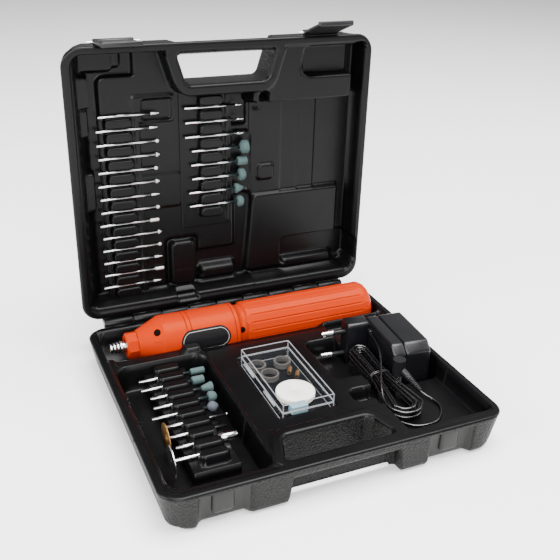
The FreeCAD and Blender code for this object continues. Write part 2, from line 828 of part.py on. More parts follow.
def tool_grip():
    neck_start = s.housing_end - 8
    neck = ring("neck_tube", s.grip_bore - 1.4, s.neck_radius, s.grip_start - neck_start + 1,
                *at_tool(neck_start))
    barrel = prism("grip_prism", at_tool(s.grip_start), s.grip_facets, s.grip_radius,
                   s.grip_end - s.grip_start)
    bore = rod("grip_bore_rod", "X", at_tool(s.grip_start + 2), s.grip_bore, s.grip_end - s.grip_start)
    through = rod("neck_bore_rod", "X", at_tool(neck_start - 1), s.grip_bore - 1.4, 20)
    keep(cut("grip_cut", fuse("grip_blank", [neck, barrel]), [bore, through]), "grip_sleeve")

    plug_radius = s.grip_bore - s.pin_play
    outer = s.grip_radius * 0.985
    tail = s.tail_length
    profile = [(0, 4.2), (tail + 5, 4.2), (tail + 5, outer - s.tail_round)]
    steps = 8
    for index in range(1, steps):
        turn = math.radians(90.0 * index / steps)
        profile.append((tail + 5 - s.tail_round * (1 - math.cos(turn)),
                        outer - s.tail_round * (1 - math.sin(turn))))
    profile += [(tail + 5 - s.tail_round, outer), (5, outer), (5, plug_radius), (0, plug_radius)]
    keep(turned("tail_turned", profile, *at_tool(s.grip_end - 5)), "tail_cap")

    socket = ring("socket_ring", 2.9, 4.1, 10, *at_tool(s.grip_end + tail - 10))
    pin = rod("socket_pin", "X", at_tool(s.grip_end + tail - 12), 0.65, 9)
    back = rod("socket_back", "X", at_tool(s.grip_end + tail - 13), 4.1, 3.2)
    keep(fuse("socket_body", [socket, pin, back]), "power_socket")


def tool_label():
    outer = s.tool_radius
    start = s.tool_start + s.label_start
    band = ring("label_band", outer + 0.02, outer + 0.35, s.label_length, start, s.tool_y, tool_z)
    rise = outer * 0.19
    half = s.label_height / 2
    frame = rounded("label_frame", (start, start + s.label_length),
                    (tool_z - 40, tool_z - 40 + s.label_height),
                    (0, 30), s.label_height / 2 - 0.1)
    frame.Placement = Placement(Vector(), Rotation(Vector(1, 0, 0), 90))
    bind(frame, Placement__Base__y=s.tool_y, Placement__Base__z=tool_z + rise - half - (tool_z - 40))
    return keep(common("label_cut", [band, frame]), "label_plate")


def tool_switch():
    angle = s.switch_angle
    slider = fuse("slider_blank", [
        block("slider_knob", (0, s.switch_length - s.switch_travel),
              (-s.switch_width / 2, s.switch_width / 2),
              (s.tool_radius + 0.3, s.tool_radius + 2.0)),
        block("slider_stem", (1, 5), (-s.switch_width / 2 + 1.3, s.switch_width / 2 - 1.3),
              (s.tool_radius - 2.6, s.tool_radius + 1)),
    ])
    slider.Placement = Placement(Vector(), Rotation(Vector(1, 0, 0), -angle.value))
    move_to(slider, s.tool_start + s.switch_start + 1, s.tool_y, tool_z)
    keep(slider, "switch_slider")
    top = s.tool_radius - 3.4
    box = block("switch_case_box", (-4, s.switch_length + 2), (-4, 4), (s.motor_radius + 0.55, top))
    room = block("switch_case_slot", (0.7, s.switch_travel + 5.4),
                 (-s.switch_width / 2 + 1.1, s.switch_width / 2 - 1.1),
                 (top - 0.8, s.tool_radius))
    case = cut("switch_case_blank", box, [room])
    case.Placement = Placement(Vector(), Rotation(Vector(1, 0, 0), -angle.value))
    move_to(case, s.tool_start + s.switch_start + 1, s.tool_y, tool_z)
    return keep(case, "switch_body")


def motor():
    start = s.motor_start
    length = s.motor_length
    outer = s.motor_radius
    inner = outer - s.motor_wall
    profile = [(0, 3.1), (s.motor_wall, 3.1), (s.motor_wall, inner), (length - 3, inner), (length - 3, outer),
               (0, outer)]
    keep(turned("can_turned", profile, *at_tool(start)), "motor_can")
    keep(turned("bell_turned", [(0, 3.1), (3, 3.1), (3, inner - 1), (3, outer), (0, outer)],
                *at_tool(start + length - 3)), "motor_end_bell")
    magnet_ring = ring("magnet_ring", 10.9, inner - s.pin_play, 24, *at_tool(start + 6))
    gap_up = block("magnet_gap", (s.tool_start + start, s.tool_start + start + 40),
                   (s.tool_y - 5, s.tool_y + 5),
                   (tool_z - 20, tool_z + 20))
    keep(cut("magnets_cut", magnet_ring, [gap_up]), "motor_magnets")
    front = ring("front_sleeve", s.motor_shaft_radius + s.pin_play, 3.05, 3, *at_tool(start - 0.5))
    rear = ring("rear_sleeve", s.motor_shaft_radius + s.pin_play, 3.05, 3, *at_tool(start + length - 2.8))
    keep(group("motor_sleeves", [front, rear]), "motor_bushes")
    brush_x = start + length - 9
    brushes = []
    springs = []
    for name, sign in (("upper", 1), ("lower", -1)):
        low = tool_z + 3.6 if sign > 0 else tool_z - 8.6
        brushes.append(block("brush_" + name, (s.tool_start + brush_x, s.tool_start + brush_x + 3),
                             (s.tool_y - 1.5, s.tool_y + 1.5), (low, low + 5)))
        edge = tool_z + 8.65 if sign > 0 else tool_z - 12.55
        springs.append(rod("spring_" + name, "Z", (s.tool_start + brush_x + 1.5, s.tool_y, edge), 1.3, 3.9))
    keep(group("brushes", brushes), "motor_brushes")
    keep(group("springs", springs), "brush_springs")
    supports = []
    for index, along in enumerate((start + 4, start + length - 8)):
        supports.append(ring("motor_support_%d" % index, outer + s.pin_play,
                             s.tool_radius - s.housing_wall - s.pin_play, 3, *at_tool(along)))
    gaps = block("support_gap", (s.tool_start + start, s.tool_start + start + length),
                 (s.tool_y - 5, s.tool_y + 20), (tool_z - 4, tool_z + 20))
    keep(cut("supports_cut", group("support_rings", supports), [gaps]), "motor_mounts")


def spindle():
    front = s.nose_start + 3
    bearing_start = front + 4
    rim_in = s.spindle_radius
    keep(turned("bearing_turned", [(0, rim_in + s.pin_play), (s.bearing_width, rim_in + s.pin_play),
                                   (s.bearing_width, s.bearing_radius), (0, s.bearing_radius)],
                *at_tool(bearing_start + 0.02)), "spindle_bearing")
    nut = turned("nut_turned", [(0, 3.4), (0.6, 4.1), (3, 5), (4.2, 5), (4.6, 4.4), (5.4, 4.4), (5.8, 5),
                                (9, 5),
                                (9, 3.3), (3, 3.3), (2.2, 2.5), (0, 2.5)], *at_tool(0))
    flats = []
    for index in range(3):
        slot = block("nut_slot_%d" % index, (-1, 7.6), (-0.6, 0.6), (3.9, 6))
        slot.Placement = Placement(Vector(), Rotation(Vector(1, 0, 0), 120 * index + 15))
        move_to(slot, s.tool_start - 1 + 0.6, s.tool_y, tool_z)
        flats.append(slot)
    keep(cut("nut_cut", nut, flats), "collet_nut")
    collet = turned("collet_turned", [(0, 1.2), (8, 1.2), (8, 2.2), (3.2, 2.2), (0.2, 2.42), (0, 2.42)],
                    *at_tool(0.3))
    saw = block("collet_saw", (s.tool_start, s.tool_start + 5), (s.tool_y - 0.2, s.tool_y + 0.2),
                (tool_z - 4, tool_z + 4))
    keep(cut("collet_cut", collet, [saw]), "collet")
    keep(turned("chuck_turned", [(0, 2.25), (4.6, 2.25), (4.6, rim_in), (10.2, rim_in), (10.2, 3.9),
                                 (5.2, 3.9),
                                 (5.2, 3.25), (0, 3.25)], *at_tool(4)), "chuck_body")
    shaft_end = s.motor_start - 2.2
    keep(rod("spindle_rod", "X", at_tool(8.8), rim_in, shaft_end - 8.8 - 3.3), "spindle_shaft")
    keep(turned("coupling_turned", [(0, rim_in), (4.8, rim_in), (4.8, s.motor_shaft_radius),
                                    (9.4, s.motor_shaft_radius),
                                    (9.4, 4.2), (0, 4.2)], *at_tool(shaft_end - 8)), "shaft_coupling")
    keep(rod("motor_rod", "X", at_tool(shaft_end - 3), s.motor_shaft_radius, s.motor_length + 5),
         "motor_shaft")
    keep(ring("armature_ring", s.motor_shaft_radius, 10.3, 20, *at_tool(s.motor_start + 7)), "armature")
    keep(ring("commutator_ring", s.motor_shaft_radius, 3.3, 5, *at_tool(s.motor_start + s.motor_length - 10)),
         "commutator")


# Bits: head outlines as shares of head length and head radius

HEADS = {
    "needle": [(0.0, 0.9), (0.6, 0.7), (1.0, 0.12)],
    "cylinder": [(0.0, 1.0), (1.0, 1.0)],
    "cone": [(0.0, 1.0), (0.25, 1.0), (1.0, 0.1)],
    "inverted": [(0.0, 0.45), (0.9, 1.0), (1.0, 1.0)],
    "bud": [(0.0, 0.35), (0.3, 0.95), (0.45, 1.0), (0.7, 0.75), (1.0, 0.15)],
    "dome": [(0.0, 0.8), (0.2, 1.0), (0.5, 1.0), (0.8, 0.75), (1.0, 0.3)],
    "wheel": [(0.0, 1.0), (1.0, 1.0)],
    "flared": [(0.0, 0.5), (0.3, 1.0), (1.0, 1.0)],
}


def bit(name, kind, tail, shank_end, head_end, head_radius, y, z, flip=False):
    """A shank and its head in one turned piece, its places measured from the case's left side."""
    shank = s.shank_radius
    span = abs(shank_end - tail)
    head = abs(head_end - shank_end)
    profile = [(0, 0), (0, shank - 0.25), (0.25, shank), (span, shank)]
    for share, width in HEADS[kind]:
        profile.append((span + head * share, size(head_radius) * width))
    profile.append((span + head, 0))
    return turned(name, profile, -half_width + tail, y, z, "-X" if flip else "X")


BASE_STONES = (
    ("cylinder", 22.0, 60.0, 70.2, 2.4),
    ("cylinder", 20.4, 57.5, 66.0, 3.0),
    ("inverted", 24.0, 60.6, 68.5, 3.75),
    ("dome", 23.0, 61.5, 68.0, 3.75),
)


def base_bits():
    z = rim - s.base_bit_sink
    stones = []
    for index, (kind, tail, shank_end, head_end, radius) in enumerate(BASE_STONES):
        stones.append(bit("base_stone_%d" % index, kind, tail, shank_end, head_end, radius,
                          base_bit_row(index), z))
    keep(group("base_stone_group", stones), "stone_points_base")
    bud = bit("base_bud", "bud", 18.5, 57.2, 65.0, s.stone_radius, base_bit_row(4), z)
    plain = bit("base_plain", "needle", 24.6, 62.0, 68.0, 1.2, base_bit_row(5), z)
    keep(group("base_point_group", [bud, plain]), "engraving_points_base")
    keep(bit("wire_wheel", "wheel", 62.0, 23.8, 21.4, s.wheel_radius, base_bit_row(6), z, True),
         "wire_wheel_bit")
    shank = s.drum_start - 24.5
    profile = [
        (0, 0), (shank + s.drum_length, 0), (shank + s.drum_length, s.drum_radius - 0.5),
        (shank + s.drum_length - 1, s.drum_radius), (shank, s.drum_radius), (shank, s.shank_radius),
        (0, s.shank_radius),
    ]
    keep(turned("mandrel_turned", profile, -half_width + 24.5, base_bit_row(7), z), "drum_mandrel")
    keep(bit("steel_wheel", "wheel", 56.4, 19.1, 17.5, s.wheel_radius, base_bit_row(8), z, True),
         "steel_wheel_bit")


LEFT_KINDS = ("needle", "needle", "ball", "cone", "ball", "cone", "needle", "ball", "cylinder", "cone",
              "ball",
              "needle", "cylinder", "needle")
LEFT_TAILS = (24.8, 22.7, 22.5, 23.3, 22.5, 21.7, 22.5, 22.4, 20.9, 22.4, 21.7, 21.7, 21.7, 20.2)
LEFT_TIPS = (70.4, 68.9, 69.3, 69.6, 67.6, 68.7, 68.3, 67.8, 66.6, 68.6, 68.1, 68.5, 68.9, 66.9)
RIGHT_HEADS = (
    ("needle", 88.5, 128.0, 134.2, 1.3),
    ("needle", 89.0, 129.0, 135.9, 1.3),
    ("cone", 88.6, 130.0, 135.9, 1.6),
    ("flared", 93.5, 132.5, 138.8, 5.2),
    ("cylinder", 92.8, 130.6, 138.0, 3.4),
    ("dome", 93.3, 131.6, 137.8, 5.0),
    ("cone", 90.6, 128.4, 136.2, 3.9),
    ("dome", 91.1, 130.2, 136.2, 4.6),
)


def lid_bits():
    y = lid_y + s.lid_bit_sink
    points = []
    for index, kind in enumerate(LEFT_KINDS):
        tail = LEFT_TAILS[index]
        tip = LEFT_TIPS[index]
        name = "left_bit_%d" % index
        if kind == "ball":
            shank = bit(name + "_shank", "needle", tail, tip - 8.0, tip - 2.0, 0.9, y, lid_row(index))
            thing = fuse(name, [shank,
                                ball(name + "_head", (-half_width + tip - 2.2, y, lid_row(index)), 1.5)])
        else:
            radius = {"needle": 1.1, "cone": 1.7, "cylinder": 1.4}[kind]
            thing = bit(name, kind, tail, tip - 7.0, tip, radius, y, lid_row(index))
        points.append(thing)
    keep(group("left_point_group", points), "diamond_points_lid")
    y = lid_y + s.right_bit_sink
    plain = []
    stones = []
    for index, (kind, tail, shank_end, head_end, radius) in enumerate(RIGHT_HEADS):
        thing = bit("right_bit_%d" % index, kind, tail, shank_end, head_end, radius, y, right_row(index))
        if index < 3:
            plain.append(thing)
        else:
            stones.append(thing)
    keep(group("right_plain_group", plain), "engraving_points_lid")
    keep(group("right_stone_group", stones), "stone_points_lid")


# Wall adapter, drawn about its own centre and turned into its bay

def settle(thing, label):
    """Put an adapter piece, drawn about the adapter's centre, into the case."""
    thing.Placement = Placement(Vector(), Rotation(Vector(0, 0, 1), s.adapter_turn.value))
    move_to(thing, s.adapter_x, s.adapter_y, s.pocket_level + s.air_gap)
    return keep(thing, label)


def adapter_outline(inset):
    half = s.adapter_length / 2 - inset
    top = s.adapter_height - inset
    bevel = s.adapter_bevel
    return [(-half, inset), (half, inset), (half, top - bevel), (half - bevel, top), (-half + bevel, top),
            (-half, top - bevel)]


def adapter_slab(name, inset, start, length):
    """A slice of the adapter's bevelled outline, pushed along X."""
    body = doc.addObject("PartDesign::Body", name)
    sketch = outline(body, name + "_outline", "YZ_Plane", adapter_outline(inset))
    pad = body.newObject("PartDesign::Pad", name + "_pad")
    pad.Profile = sketch
    bind(pad, Length=length)
    sketch.Visibility = False
    return move_to(body, start, 0, 0)


def adapter():
    half = s.adapter_width / 2
    wall = s.adapter_wall
    cover_end = -half + s.cover_depth
    cover_skin = adapter_slab("cover_skin", size(0), -half, s.cover_depth)
    cover_room = adapter_slab("cover_room", wall, -half + wall, s.cover_depth)
    gland = block("lead_gland", (-half - 2.6, -half + 1), (8.0, 12.4),
                  (s.adapter_height - 9, s.adapter_height - 4.6))
    gland_bore = rod("gland_bore", "Y", (-half - 1.2, 7, s.adapter_height - 6.8), s.lead_diameter / 2 + 0.1,
                     3)
    settle(cut("cover_cut", fuse("cover_blank", [cover_skin, gland]), [cover_room, gland_bore]),
           "adapter_cover")
    body_skin = adapter_slab("body_skin", size(0), cover_end + 0.05, s.adapter_width - s.cover_depth - 0.05)
    body_room = adapter_slab("body_room", wall, cover_end - 1, s.adapter_width - s.cover_depth + 1 - wall)
    vents = []
    for index in range(7):
        along = s.vent_pitch * (index - 3)
        vents.append(block("vent_%d" % index, (-2, half - 5), (along, along + s.vent_width),
                           (s.adapter_height - 0.8, s.adapter_height + 1)))
    settle(cut("body_cut", body_skin, [body_room] + vents), "adapter_body")

    middle = s.adapter_height / 2
    tall = s.block_height / 2
    wide = s.block_width / 2
    tip = s.block_tip / 2
    shoulder = tall - 11.3
    corners = [(-tip, -tall), (tip, -tall), (wide, -shoulder), (wide, shoulder), (tip, tall), (-tip, tall),
               (-wide, shoulder), (-wide, -shoulder)]
    stud = doc.addObject("PartDesign::Body", "block_stud")
    sketch = outline(stud, "block_outline", "YZ_Plane", corners)
    pad = stud.newObject("PartDesign::Pad", "block_pad")
    pad.Profile = sketch
    bind(pad, Length=s.block_reach)
    sketch.Visibility = False
    move_to(stud, -half - 0.05 - s.block_reach, s.block_y, middle)
    settle(group("block_group", [stud]), "plug_block")
    face = -half - 0.05 - s.block_reach
    pins = []
    sleeves = []
    for index, sign in enumerate((-1, 1)):
        height = middle + s.plug_pin_spacing / 2 * sign
        neck = s.sleeve_radius - 0.55
        profile = [
            (0, 0), (s.plug_pin_length, 0), (s.plug_pin_length, s.plug_pin_radius - 0.6),
            (s.plug_pin_length - 0.6, s.plug_pin_radius), (s.sleeve_length + 0.05, s.plug_pin_radius),
            (s.sleeve_length + 0.05, neck), (0, neck),
        ]
        pins.append(turned("plug_pin_%d" % index, profile, face - 0.02, s.block_y, height, "-X"))
        sleeves.append(ring("sleeve_%d" % index, neck + 0.02, s.sleeve_radius, s.sleeve_length,
                            face - 0.02, s.block_y, height, "-X"))
    settle(group("pin_group", pins), "plug_pins")
    settle(group("sleeve_group", sleeves), "pin_sleeves")
    transformer(-half + wall, half - wall - s.air_gap, wall + 0.02)


def transformer(front, rear, low):
    """An E core whose middle limb carries one coil, and the board in front of it."""
    middle = -2.0
    reach = s.core_length / 2
    window = (s.core_height - s.coil_height - 0.4) / 2
    limb = 4.0
    core = block("core_box", (-3, rear), (middle - reach, middle + reach), (low, low + s.core_height))
    windows = []
    for name, near, far in (("left", -limb - 5, -limb), ("right", limb, limb + 5)):
        windows.append(block("core_window_" + name, (-4, rear + 2), (middle + near, middle + far),
                             (low + window, low + s.core_height - window)))
    settle(cut("core_cut", core, windows), "transformer_core")
    wound = block("coil_box", (-7, rear), (middle - limb - 4.8, middle + limb + 4.8),
                  (low + window + 0.2, low + window + 0.2 + s.coil_height))
    room = block("coil_room", (-3.4, rear + 2), (middle - limb - 0.2, middle + limb + 0.2),
                 (low + window - 1, low + s.core_height - window + 1))
    settle(cut("coil_cut", wound, [room]), "transformer_coil")
    board = block("board_box", (front + 1.2, front + 1.2 + s.board_thickness),
                  (-s.board_length / 2, s.board_length / 2), (low, low + s.board_height))
    settle(group("board_group", [board]), "circuit_board")


# Lead, hank, tie and power plug

def biarc(start, start_way, end, end_way):
    """Two arcs that join two points along given directions."""
    across = end - start
    total = start_way + end_way
    fold = 2.0 * (1.0 - start_way.dot(end_way))
    reach = across.dot(total)
    if abs(fold) < 1e-7:
        span = across.Length / 4.0
    else:
        span = (-reach + math.sqrt(reach * reach + fold * across.dot(across))) / fold
    middle = (start + end + (start_way - end_way) * span) * 0.5
    return [one_arc(start, start_way, middle), one_arc(end, end_way * -1, middle, True)]


def one_arc(start, way, end, backward=False):
    chord = end - start
    side = chord - way * chord.dot(way)
    if side.Length < 1e-5 * chord.Length:
        first, last = (end, start) if backward else (start, end)
        return Part.LineSegment(first, last)
    side.normalize()
    radius = chord.dot(chord) / (2.0 * chord.dot(side))
    centre = start + side * radius
    bulge = (start - centre) + (end - centre)
    if bulge.Length < 1e-6 * radius or chord.dot(way) < 0:
        bulge = way * radius if bulge.Length < 1e-6 * radius else bulge * -1
    bulge.normalize()
    through = centre + bulge * radius
    if backward:
        return Part.Arc(end, through, start)
    return Part.Arc(start, through, end)


def tube(curves, diameter):
    path = Part.Wire([curve.toShape() for curve in curves])
    first = curves[0]
    begin = first.value(first.FirstParameter)
    way = first.tangent(first.FirstParameter)[0]
    circle = Part.Wire([Part.Circle(begin, way, diameter / 2.0).toShape()])
    return path.makePipeShell([circle], True, False)


def rounded_route(points):
    """Straight runs joined by tangent arcs."""
    curves = []
    radii = []
    last = points[0]
    for before, corner, after in zip(points, points[1:], points[2:]):
        inward = corner - before
        outward = after - corner
        shorter = min(inward.Length, outward.Length)
        turn = inward.getAngle(outward)
        back = shorter * 0.45
        radii.append(back / math.tan(turn / 2.0))
        inward.normalize()
        outward.normalize()
        enter = corner - inward * back
        leave = corner + outward * back
        curves.append(Part.LineSegment(last, enter))
        bisector = outward - inward
        bisector.normalize()
        centre = corner + bisector * (radii[-1] / math.cos(turn / 2.0))
        through = centre - bisector * radii[-1]
        curves.append(Part.Arc(enter, through, leave))
        last = leave
    curves.append(Part.LineSegment(last, points[-1]))
    return curves, radii


hank_rear = Vector(66.5, 13.2, 0)
hank_tie = Vector(66.0, -25.5, 0)
hank_front = Vector(65.2, -73.0, 0)
hank_tilt = 0.06
REAR_SPREAD = (2.3, 2.6)
FRONT_SPREAD = (5.2, 4.2)


def hank_stations():
    """Points and directions round each turn of the hank, top layer first."""
    pitch = s.strand_pitch.value
    layers = int(s.hank_layers.value)
    turns = int(s.layer_turns.value)
    low = s.shelf_level.value + s.air_gap.value + s.lead_diameter.value / 2.0
    stations = []

    def rank(progress):
        local = progress % (2.0 * turns)
        return turns - local if local <= turns else local - turns

    def layer(progress):
        whole = progress / turns
        nearest = round(whole)
        off = (whole - nearest) * turns
        if 0 < nearest < layers and abs(off) < 0.3:
            return layers - 1 - (nearest - 0.5 + off / 0.6)
        return layers - 1 - math.floor(whole)

    for step in range(layers * turns * 6 + 1):
        progress = step / 6.0
        ringed = rank(progress)
        height = low + layer(min(progress, layers * turns - 0.001)) * pitch
        tie_half = pitch * (0.75 + ringed)
        rear_half = REAR_SPREAD[0] + REAR_SPREAD[1] * ringed
        front_half = FRONT_SPREAD[0] + FRONT_SPREAD[1] * ringed
        front_y = hank_front.y + FRONT_SPREAD[0] + FRONT_SPREAD[1] * turns
        rear_y = hank_rear.y - REAR_SPREAD[0] - REAR_SPREAD[1] * turns
        place = step % 6
        spots = (
            (Vector(hank_tie.x - tie_half, hank_tie.y, 0), Vector(-0.06, -1, 0)),
            (Vector(hank_front.x - front_half, front_y, 0), Vector(-0.10, -1, 0)),
            (Vector(hank_front.x + front_half, front_y, 0), Vector(-0.10, 1, 0)),
            (Vector(hank_tie.x + tie_half, hank_tie.y, 0), Vector(-0.06, 1, 0)),
            (Vector(hank_rear.x + rear_half, rear_y, 0), Vector(0.02, 1, 0)),
            (Vector(hank_rear.x - rear_half, rear_y, 0), Vector(0.02, -1, 0)),
        )
        spot, way = spots[place]
        spot.z = height + hank_tilt * (spot.y - hank_front.y)
        way.z = hank_tilt * way.y
        way.normalize()
        stations.append((spot, way))
    return stations


def least_gap(curves, diameter, name):
    """The least distance between far-apart stretches of one tube, less its diameter."""
    samples = []
    run = 0.0
    for curve in curves:
        length = curve.length()
        count = max(2, int(length / 1.0))
        for index in range(count):
            share = index / count
            place = curve.parameterAtDistance(length * share, curve.FirstParameter)
            samples.append((run + length * share, curve.value(place)))
        run += length
    least = 1e9
    for index, (mark, point) in enumerate(samples):
        for other_mark, other in samples[index + 1:]:
            if other_mark - mark > diameter * 4:
                least = min(least, point.distanceToPoint(other))
    print("%s: length %.0f mm, least gap to itself %.2f mm" % (name, run, least - diameter))
    return run


def lead():
    diameter = s.lead_diameter.value
    stations = hank_stations()
    stations = stations[1:]
    curves = []
    for (start, start_way), (end, end_way) in zip(stations, stations[1:]):
        curves += biarc(start, start_way, end, end_way)
    shaped("lead_hank", tube(curves, diameter))
    lengths = [least_gap(curves, diameter, "lead_hank")]

    turn = Rotation(Vector(0, 0, 1), s.adapter_turn.value)
    half = s.adapter_width.value / 2
    exit_point = Vector(-half - 1.2, 8.0, s.adapter_height.value - 6.8)
    centre = Vector(s.adapter_x.value, s.adapter_y.value, s.pocket_level.value + s.air_gap.value)
    gland = centre + turn.multVec(exit_point)
    first, first_way = stations[0]
    last, last_way = stations[-1]
    relief_start = Vector(86.4, -47.9, 17.4)
    relief_way = Vector(-7.0, 11.9, 9.5)
    relief_way.normalize()
    routes = {
        "lead_adapter_end": [
            gland,
            gland + turn.multVec(Vector(-0.4, -9, -1.5)),
            Vector(73.6, -10.5, 32.4),
            Vector(66.5, -25.5, 28.4),
            Vector(57.0, -42.0, 25.2),
            first - first_way * 7,
            first,
        ],
        "lead_plug_end": [
            last,
            last + last_way * 7.5,
            Vector(55.5, -44.0, 14.6),
            Vector(51.6, -62.0, 14.4),
            Vector(61.0, -80.0, 14.3),
            Vector(80.0, -81.0, 14.3),
            Vector(92.2, -68.0, 14.3),
            Vector(92.0, -57.0, 14.4),
            relief_start - relief_way * 4,
            relief_start,
        ],
    }
    for name, points in routes.items():
        curves, radii = rounded_route(points)
        shaped(name, tube(curves, diameter))
        lengths.append(least_gap(curves, diameter, name))
        print(name, "radii", [round(radius, 1) for radius in radii])
    print("lead in all %.0f mm" % sum(lengths))
    power_plug(relief_start, relief_way)
    lead_tie()


def lead_tie():
    """A band round the strands at the hank's waist."""
    pitch = s.strand_pitch
    half = pitch * (s.layer_turns + 0.75) + s.lead_diameter / 2 + s.air_gap
    wall = s.tie_wall
    low = s.shelf_level + s.air_gap + (hank_tie.y - hank_front.y) * hank_tilt
    high = low + pitch * (s.hank_layers - 1) + s.lead_diameter + s.air_gap
    along = (hank_tie.y - s.tie_width / 2, hank_tie.y + s.tie_width / 2)
    wide = (hank_tie.x - half, hank_tie.x + half)
    outer = block("tie_outer", (wide[0] - wall, wide[1] + wall), along, (low - s.air_gap - wall, high + wall))
    inner = block("tie_inner", wide, (along[0] - 1, along[1] + 1), (low - s.air_gap, high))
    return keep(cut("tie_cut", outer, [inner]), "lead_tie")


def power_plug(start, way):
    """The ribbed sleeve, angled body and barrel at the lead's end."""
    turn = Rotation(Vector(1, 0, 0), way)
    length = s.relief_length.value
    ribs = int(s.relief_ribs.value)
    pitch = (length - 2.0) / ribs
    profile = [(0, 0), (0, 1.5)]
    for index in range(ribs):
        wide = 1.9 + 0.9 * index / ribs
        begin = 0.4 + pitch * index
        profile += [(begin, wide - 0.45), (begin + pitch * 0.2, wide), (begin + pitch * 0.7, wide),
                    (begin + pitch * 0.9, wide - 0.45)]
    profile += [(length, 2.8), (length, 0)]
    relief = turned("relief_turned", profile, *start)
    relief.Placement = Placement(start, turn)
    keep(relief, "plug_strain_relief")
    root = start + way * (length + 0.02)
    centre = start + way * (length + s.plug_neck.value)
    neck = rod("plug_neck_rod", "Z", tuple(root), 2.8, s.plug_neck)
    neck.Placement = Placement(root, Rotation(Vector(0, 0, 1), way))
    low = centre.z - s.plug_body_height.value / 2
    core = rod("plug_core", "Z", (centre.x, centre.y, low), s.plug_body_radius, s.plug_body_height)
    seat = rod("plug_seat", "Z", (centre.x, centre.y, low - 1), s.barrel_radius - 0.6, 5)
    keep(cut("plug_body_cut", fuse("plug_body_blank", [core, neck]), [seat]), "power_plug_body")
    tip = low - s.barrel_length
    barrel = fuse("barrel_solid", [
        rod("barrel_tube", "Z", (centre.x, centre.y, tip), s.barrel_radius, s.barrel_length - 0.02),
        rod("barrel_root", "Z", (centre.x, centre.y, low - 0.5), s.barrel_radius - 0.65, 4),
    ])
    bore = rod("barrel_bore", "Z", (centre.x, centre.y, tip - 1), s.barrel_bore_radius, s.barrel_length - 1)
    keep(cut("barrel_cut", barrel, [bore]), "power_plug_barrel")


# Clear accessory box

def clear_box():
    x0 = s.clear_box_x - s.clear_box_width / 2
    x1 = s.clear_box_x + s.clear_box_width / 2
    y0 = s.clear_box_y - s.clear_box_length / 2
    y1 = s.clear_box_y + s.clear_box_length / 2
    low = s.table_level + s.air_gap
    top = low + s.clear_box_height
    split = top - s.skirt_height
    wall = s.clear_wall
    fit = s.box_fit
    axis_x = x0 - s.box_knuckle
    axis_z = split - 0.1
    play = s.pin_play
    foot = block("box_foot", (x0, x1), (y0, y1), (low, split - fit))
    lip = block("box_lip", (x0 + wall + fit, x1 - wall - fit), (y0 + wall + fit, y1 - wall - fit),
                (low, split + s.lip_height))
    room = block("box_room", (x0 + wall * 2 + fit, x1 - wall * 2 - fit),
                 (y0 + wall * 2 + fit, y1 - wall * 2 - fit),
                 (low + wall, top + 1))
    pivots = []
    for name, middle in (("front", y0 + 20), ("rear", y1 - 20)):
        pivots.append(rod("box_pivot_" + name, "Y", (axis_x, middle - 9, axis_z), 0.5, 18))
        pivots.append(rod("box_knuckle_" + name, "Y", (axis_x, middle - 3, axis_z), s.box_knuckle, 6))
        pivots.append(block("box_web_" + name, (axis_x, x0 + 1), (middle - 3, middle + 3),
                            (axis_z - s.box_knuckle, split - fit)))
    keep(cut("box_base_cut", fuse("box_base_blank", [foot, lip] + pivots), [room]), "clear_box_base")

    shell = block("cover_shell", (x0, x1), (y0, y1), (split, top))
    hollow = block("cover_hollow", (x0 + wall, x1 - wall), (y0 + wall, y1 - wall), (split - 1, top - wall))
    arms = []
    bores = [hollow]
    for name, middle in (("front", y0 + 20), ("rear", y1 - 20)):
        for side, begin in (("near", middle - 9), ("far", middle + 3.2)):
            arm = "cover_arm_%s_%s" % (name, side)
            arms.append(rod(arm, "Y", (axis_x, begin, axis_z), s.box_knuckle, 5.8))
            arms.append(block(arm + "_web", (axis_x, x0 + 0.6), (begin, begin + 5.8),
                              (split, axis_z + s.box_knuckle)))
        bores.append(rod("cover_bore_" + name, "Y", (axis_x, middle - 10, axis_z), 0.5 + play, 20))
    keep(cut("box_cover_cut", fuse("box_cover_blank", [shell] + arms), bores), "clear_box_cover")
    floor = low + wall + 0.1
    box_contents(x0, x1, y0, y1, floor)


def box_contents(left, right, front, rear, floor):
    """What lies in the tray, placed from its own sides: stone in front, felt, then bands and collets."""
    stone = block("stone_block", (left + 8.75, left + 8.75 + s.stone_length),
                  (front + s.stone_inset, front + s.stone_inset + s.stone_width), (floor, floor + 6.0))
    keep(group("stone_group", [stone]), "dressing_stone")
    felt_x = right - s.clear_wall * 2 - s.box_fit - 1.3 - s.felt_radius
    felt_y = front + s.stone_inset + s.stone_width + s.stone_gap + s.felt_radius
    keep(ring("felt_ring", s.shank_radius + 0.025, s.felt_radius, s.felt_thickness, felt_x, felt_y,
              floor + s.felt_thickness, "-Z"), "felt_wheel")
    bands = []
    spots = (("rear", left + 9.05, rear - 10.9, s.band_radius),
             ("middle", left + 12.85, rear - 25.1, s.band_radius + 0.4),
             ("side", right - 10.45, rear - 12.3, s.band_radius))
    for name, x, y, outer in spots:
        bands.append(ring("band_" + name, outer - s.band_wall, outer, s.band_height, x, y,
                          floor + s.band_height, "-Z"))
    keep(group("band_group", bands), "sanding_bands")
    spare = []
    for name, x, y in (("left", right - 11.25, rear - 27.0), ("right", right - 8.05, rear - 33.5)):
        barrel = ring("spare_%s_barrel" % name, 0.8, 1.7, 7.0, x, y, floor + 1.8)
        barrel.Placement = Placement(barrel.Placement.Base, Rotation(Vector(0, 0, 1), 60))
        spare.append(barrel)
    keep(group("spare_group", spare), "spare_collets")


doc.recompute()
case_base()
case_lid()
hinge_pin()
latch_pins()
latch("left", s.latch_left_centre, s.latch_left_open)
latch("right", s.latch_right_centre, s.latch_right_open)
tool_shell()
tool_grip()
tool_label()
tool_switch()
motor()
spindle()
base_bits()
lid_bits()
adapter()
lead()
clear_box()
doc.recompute()

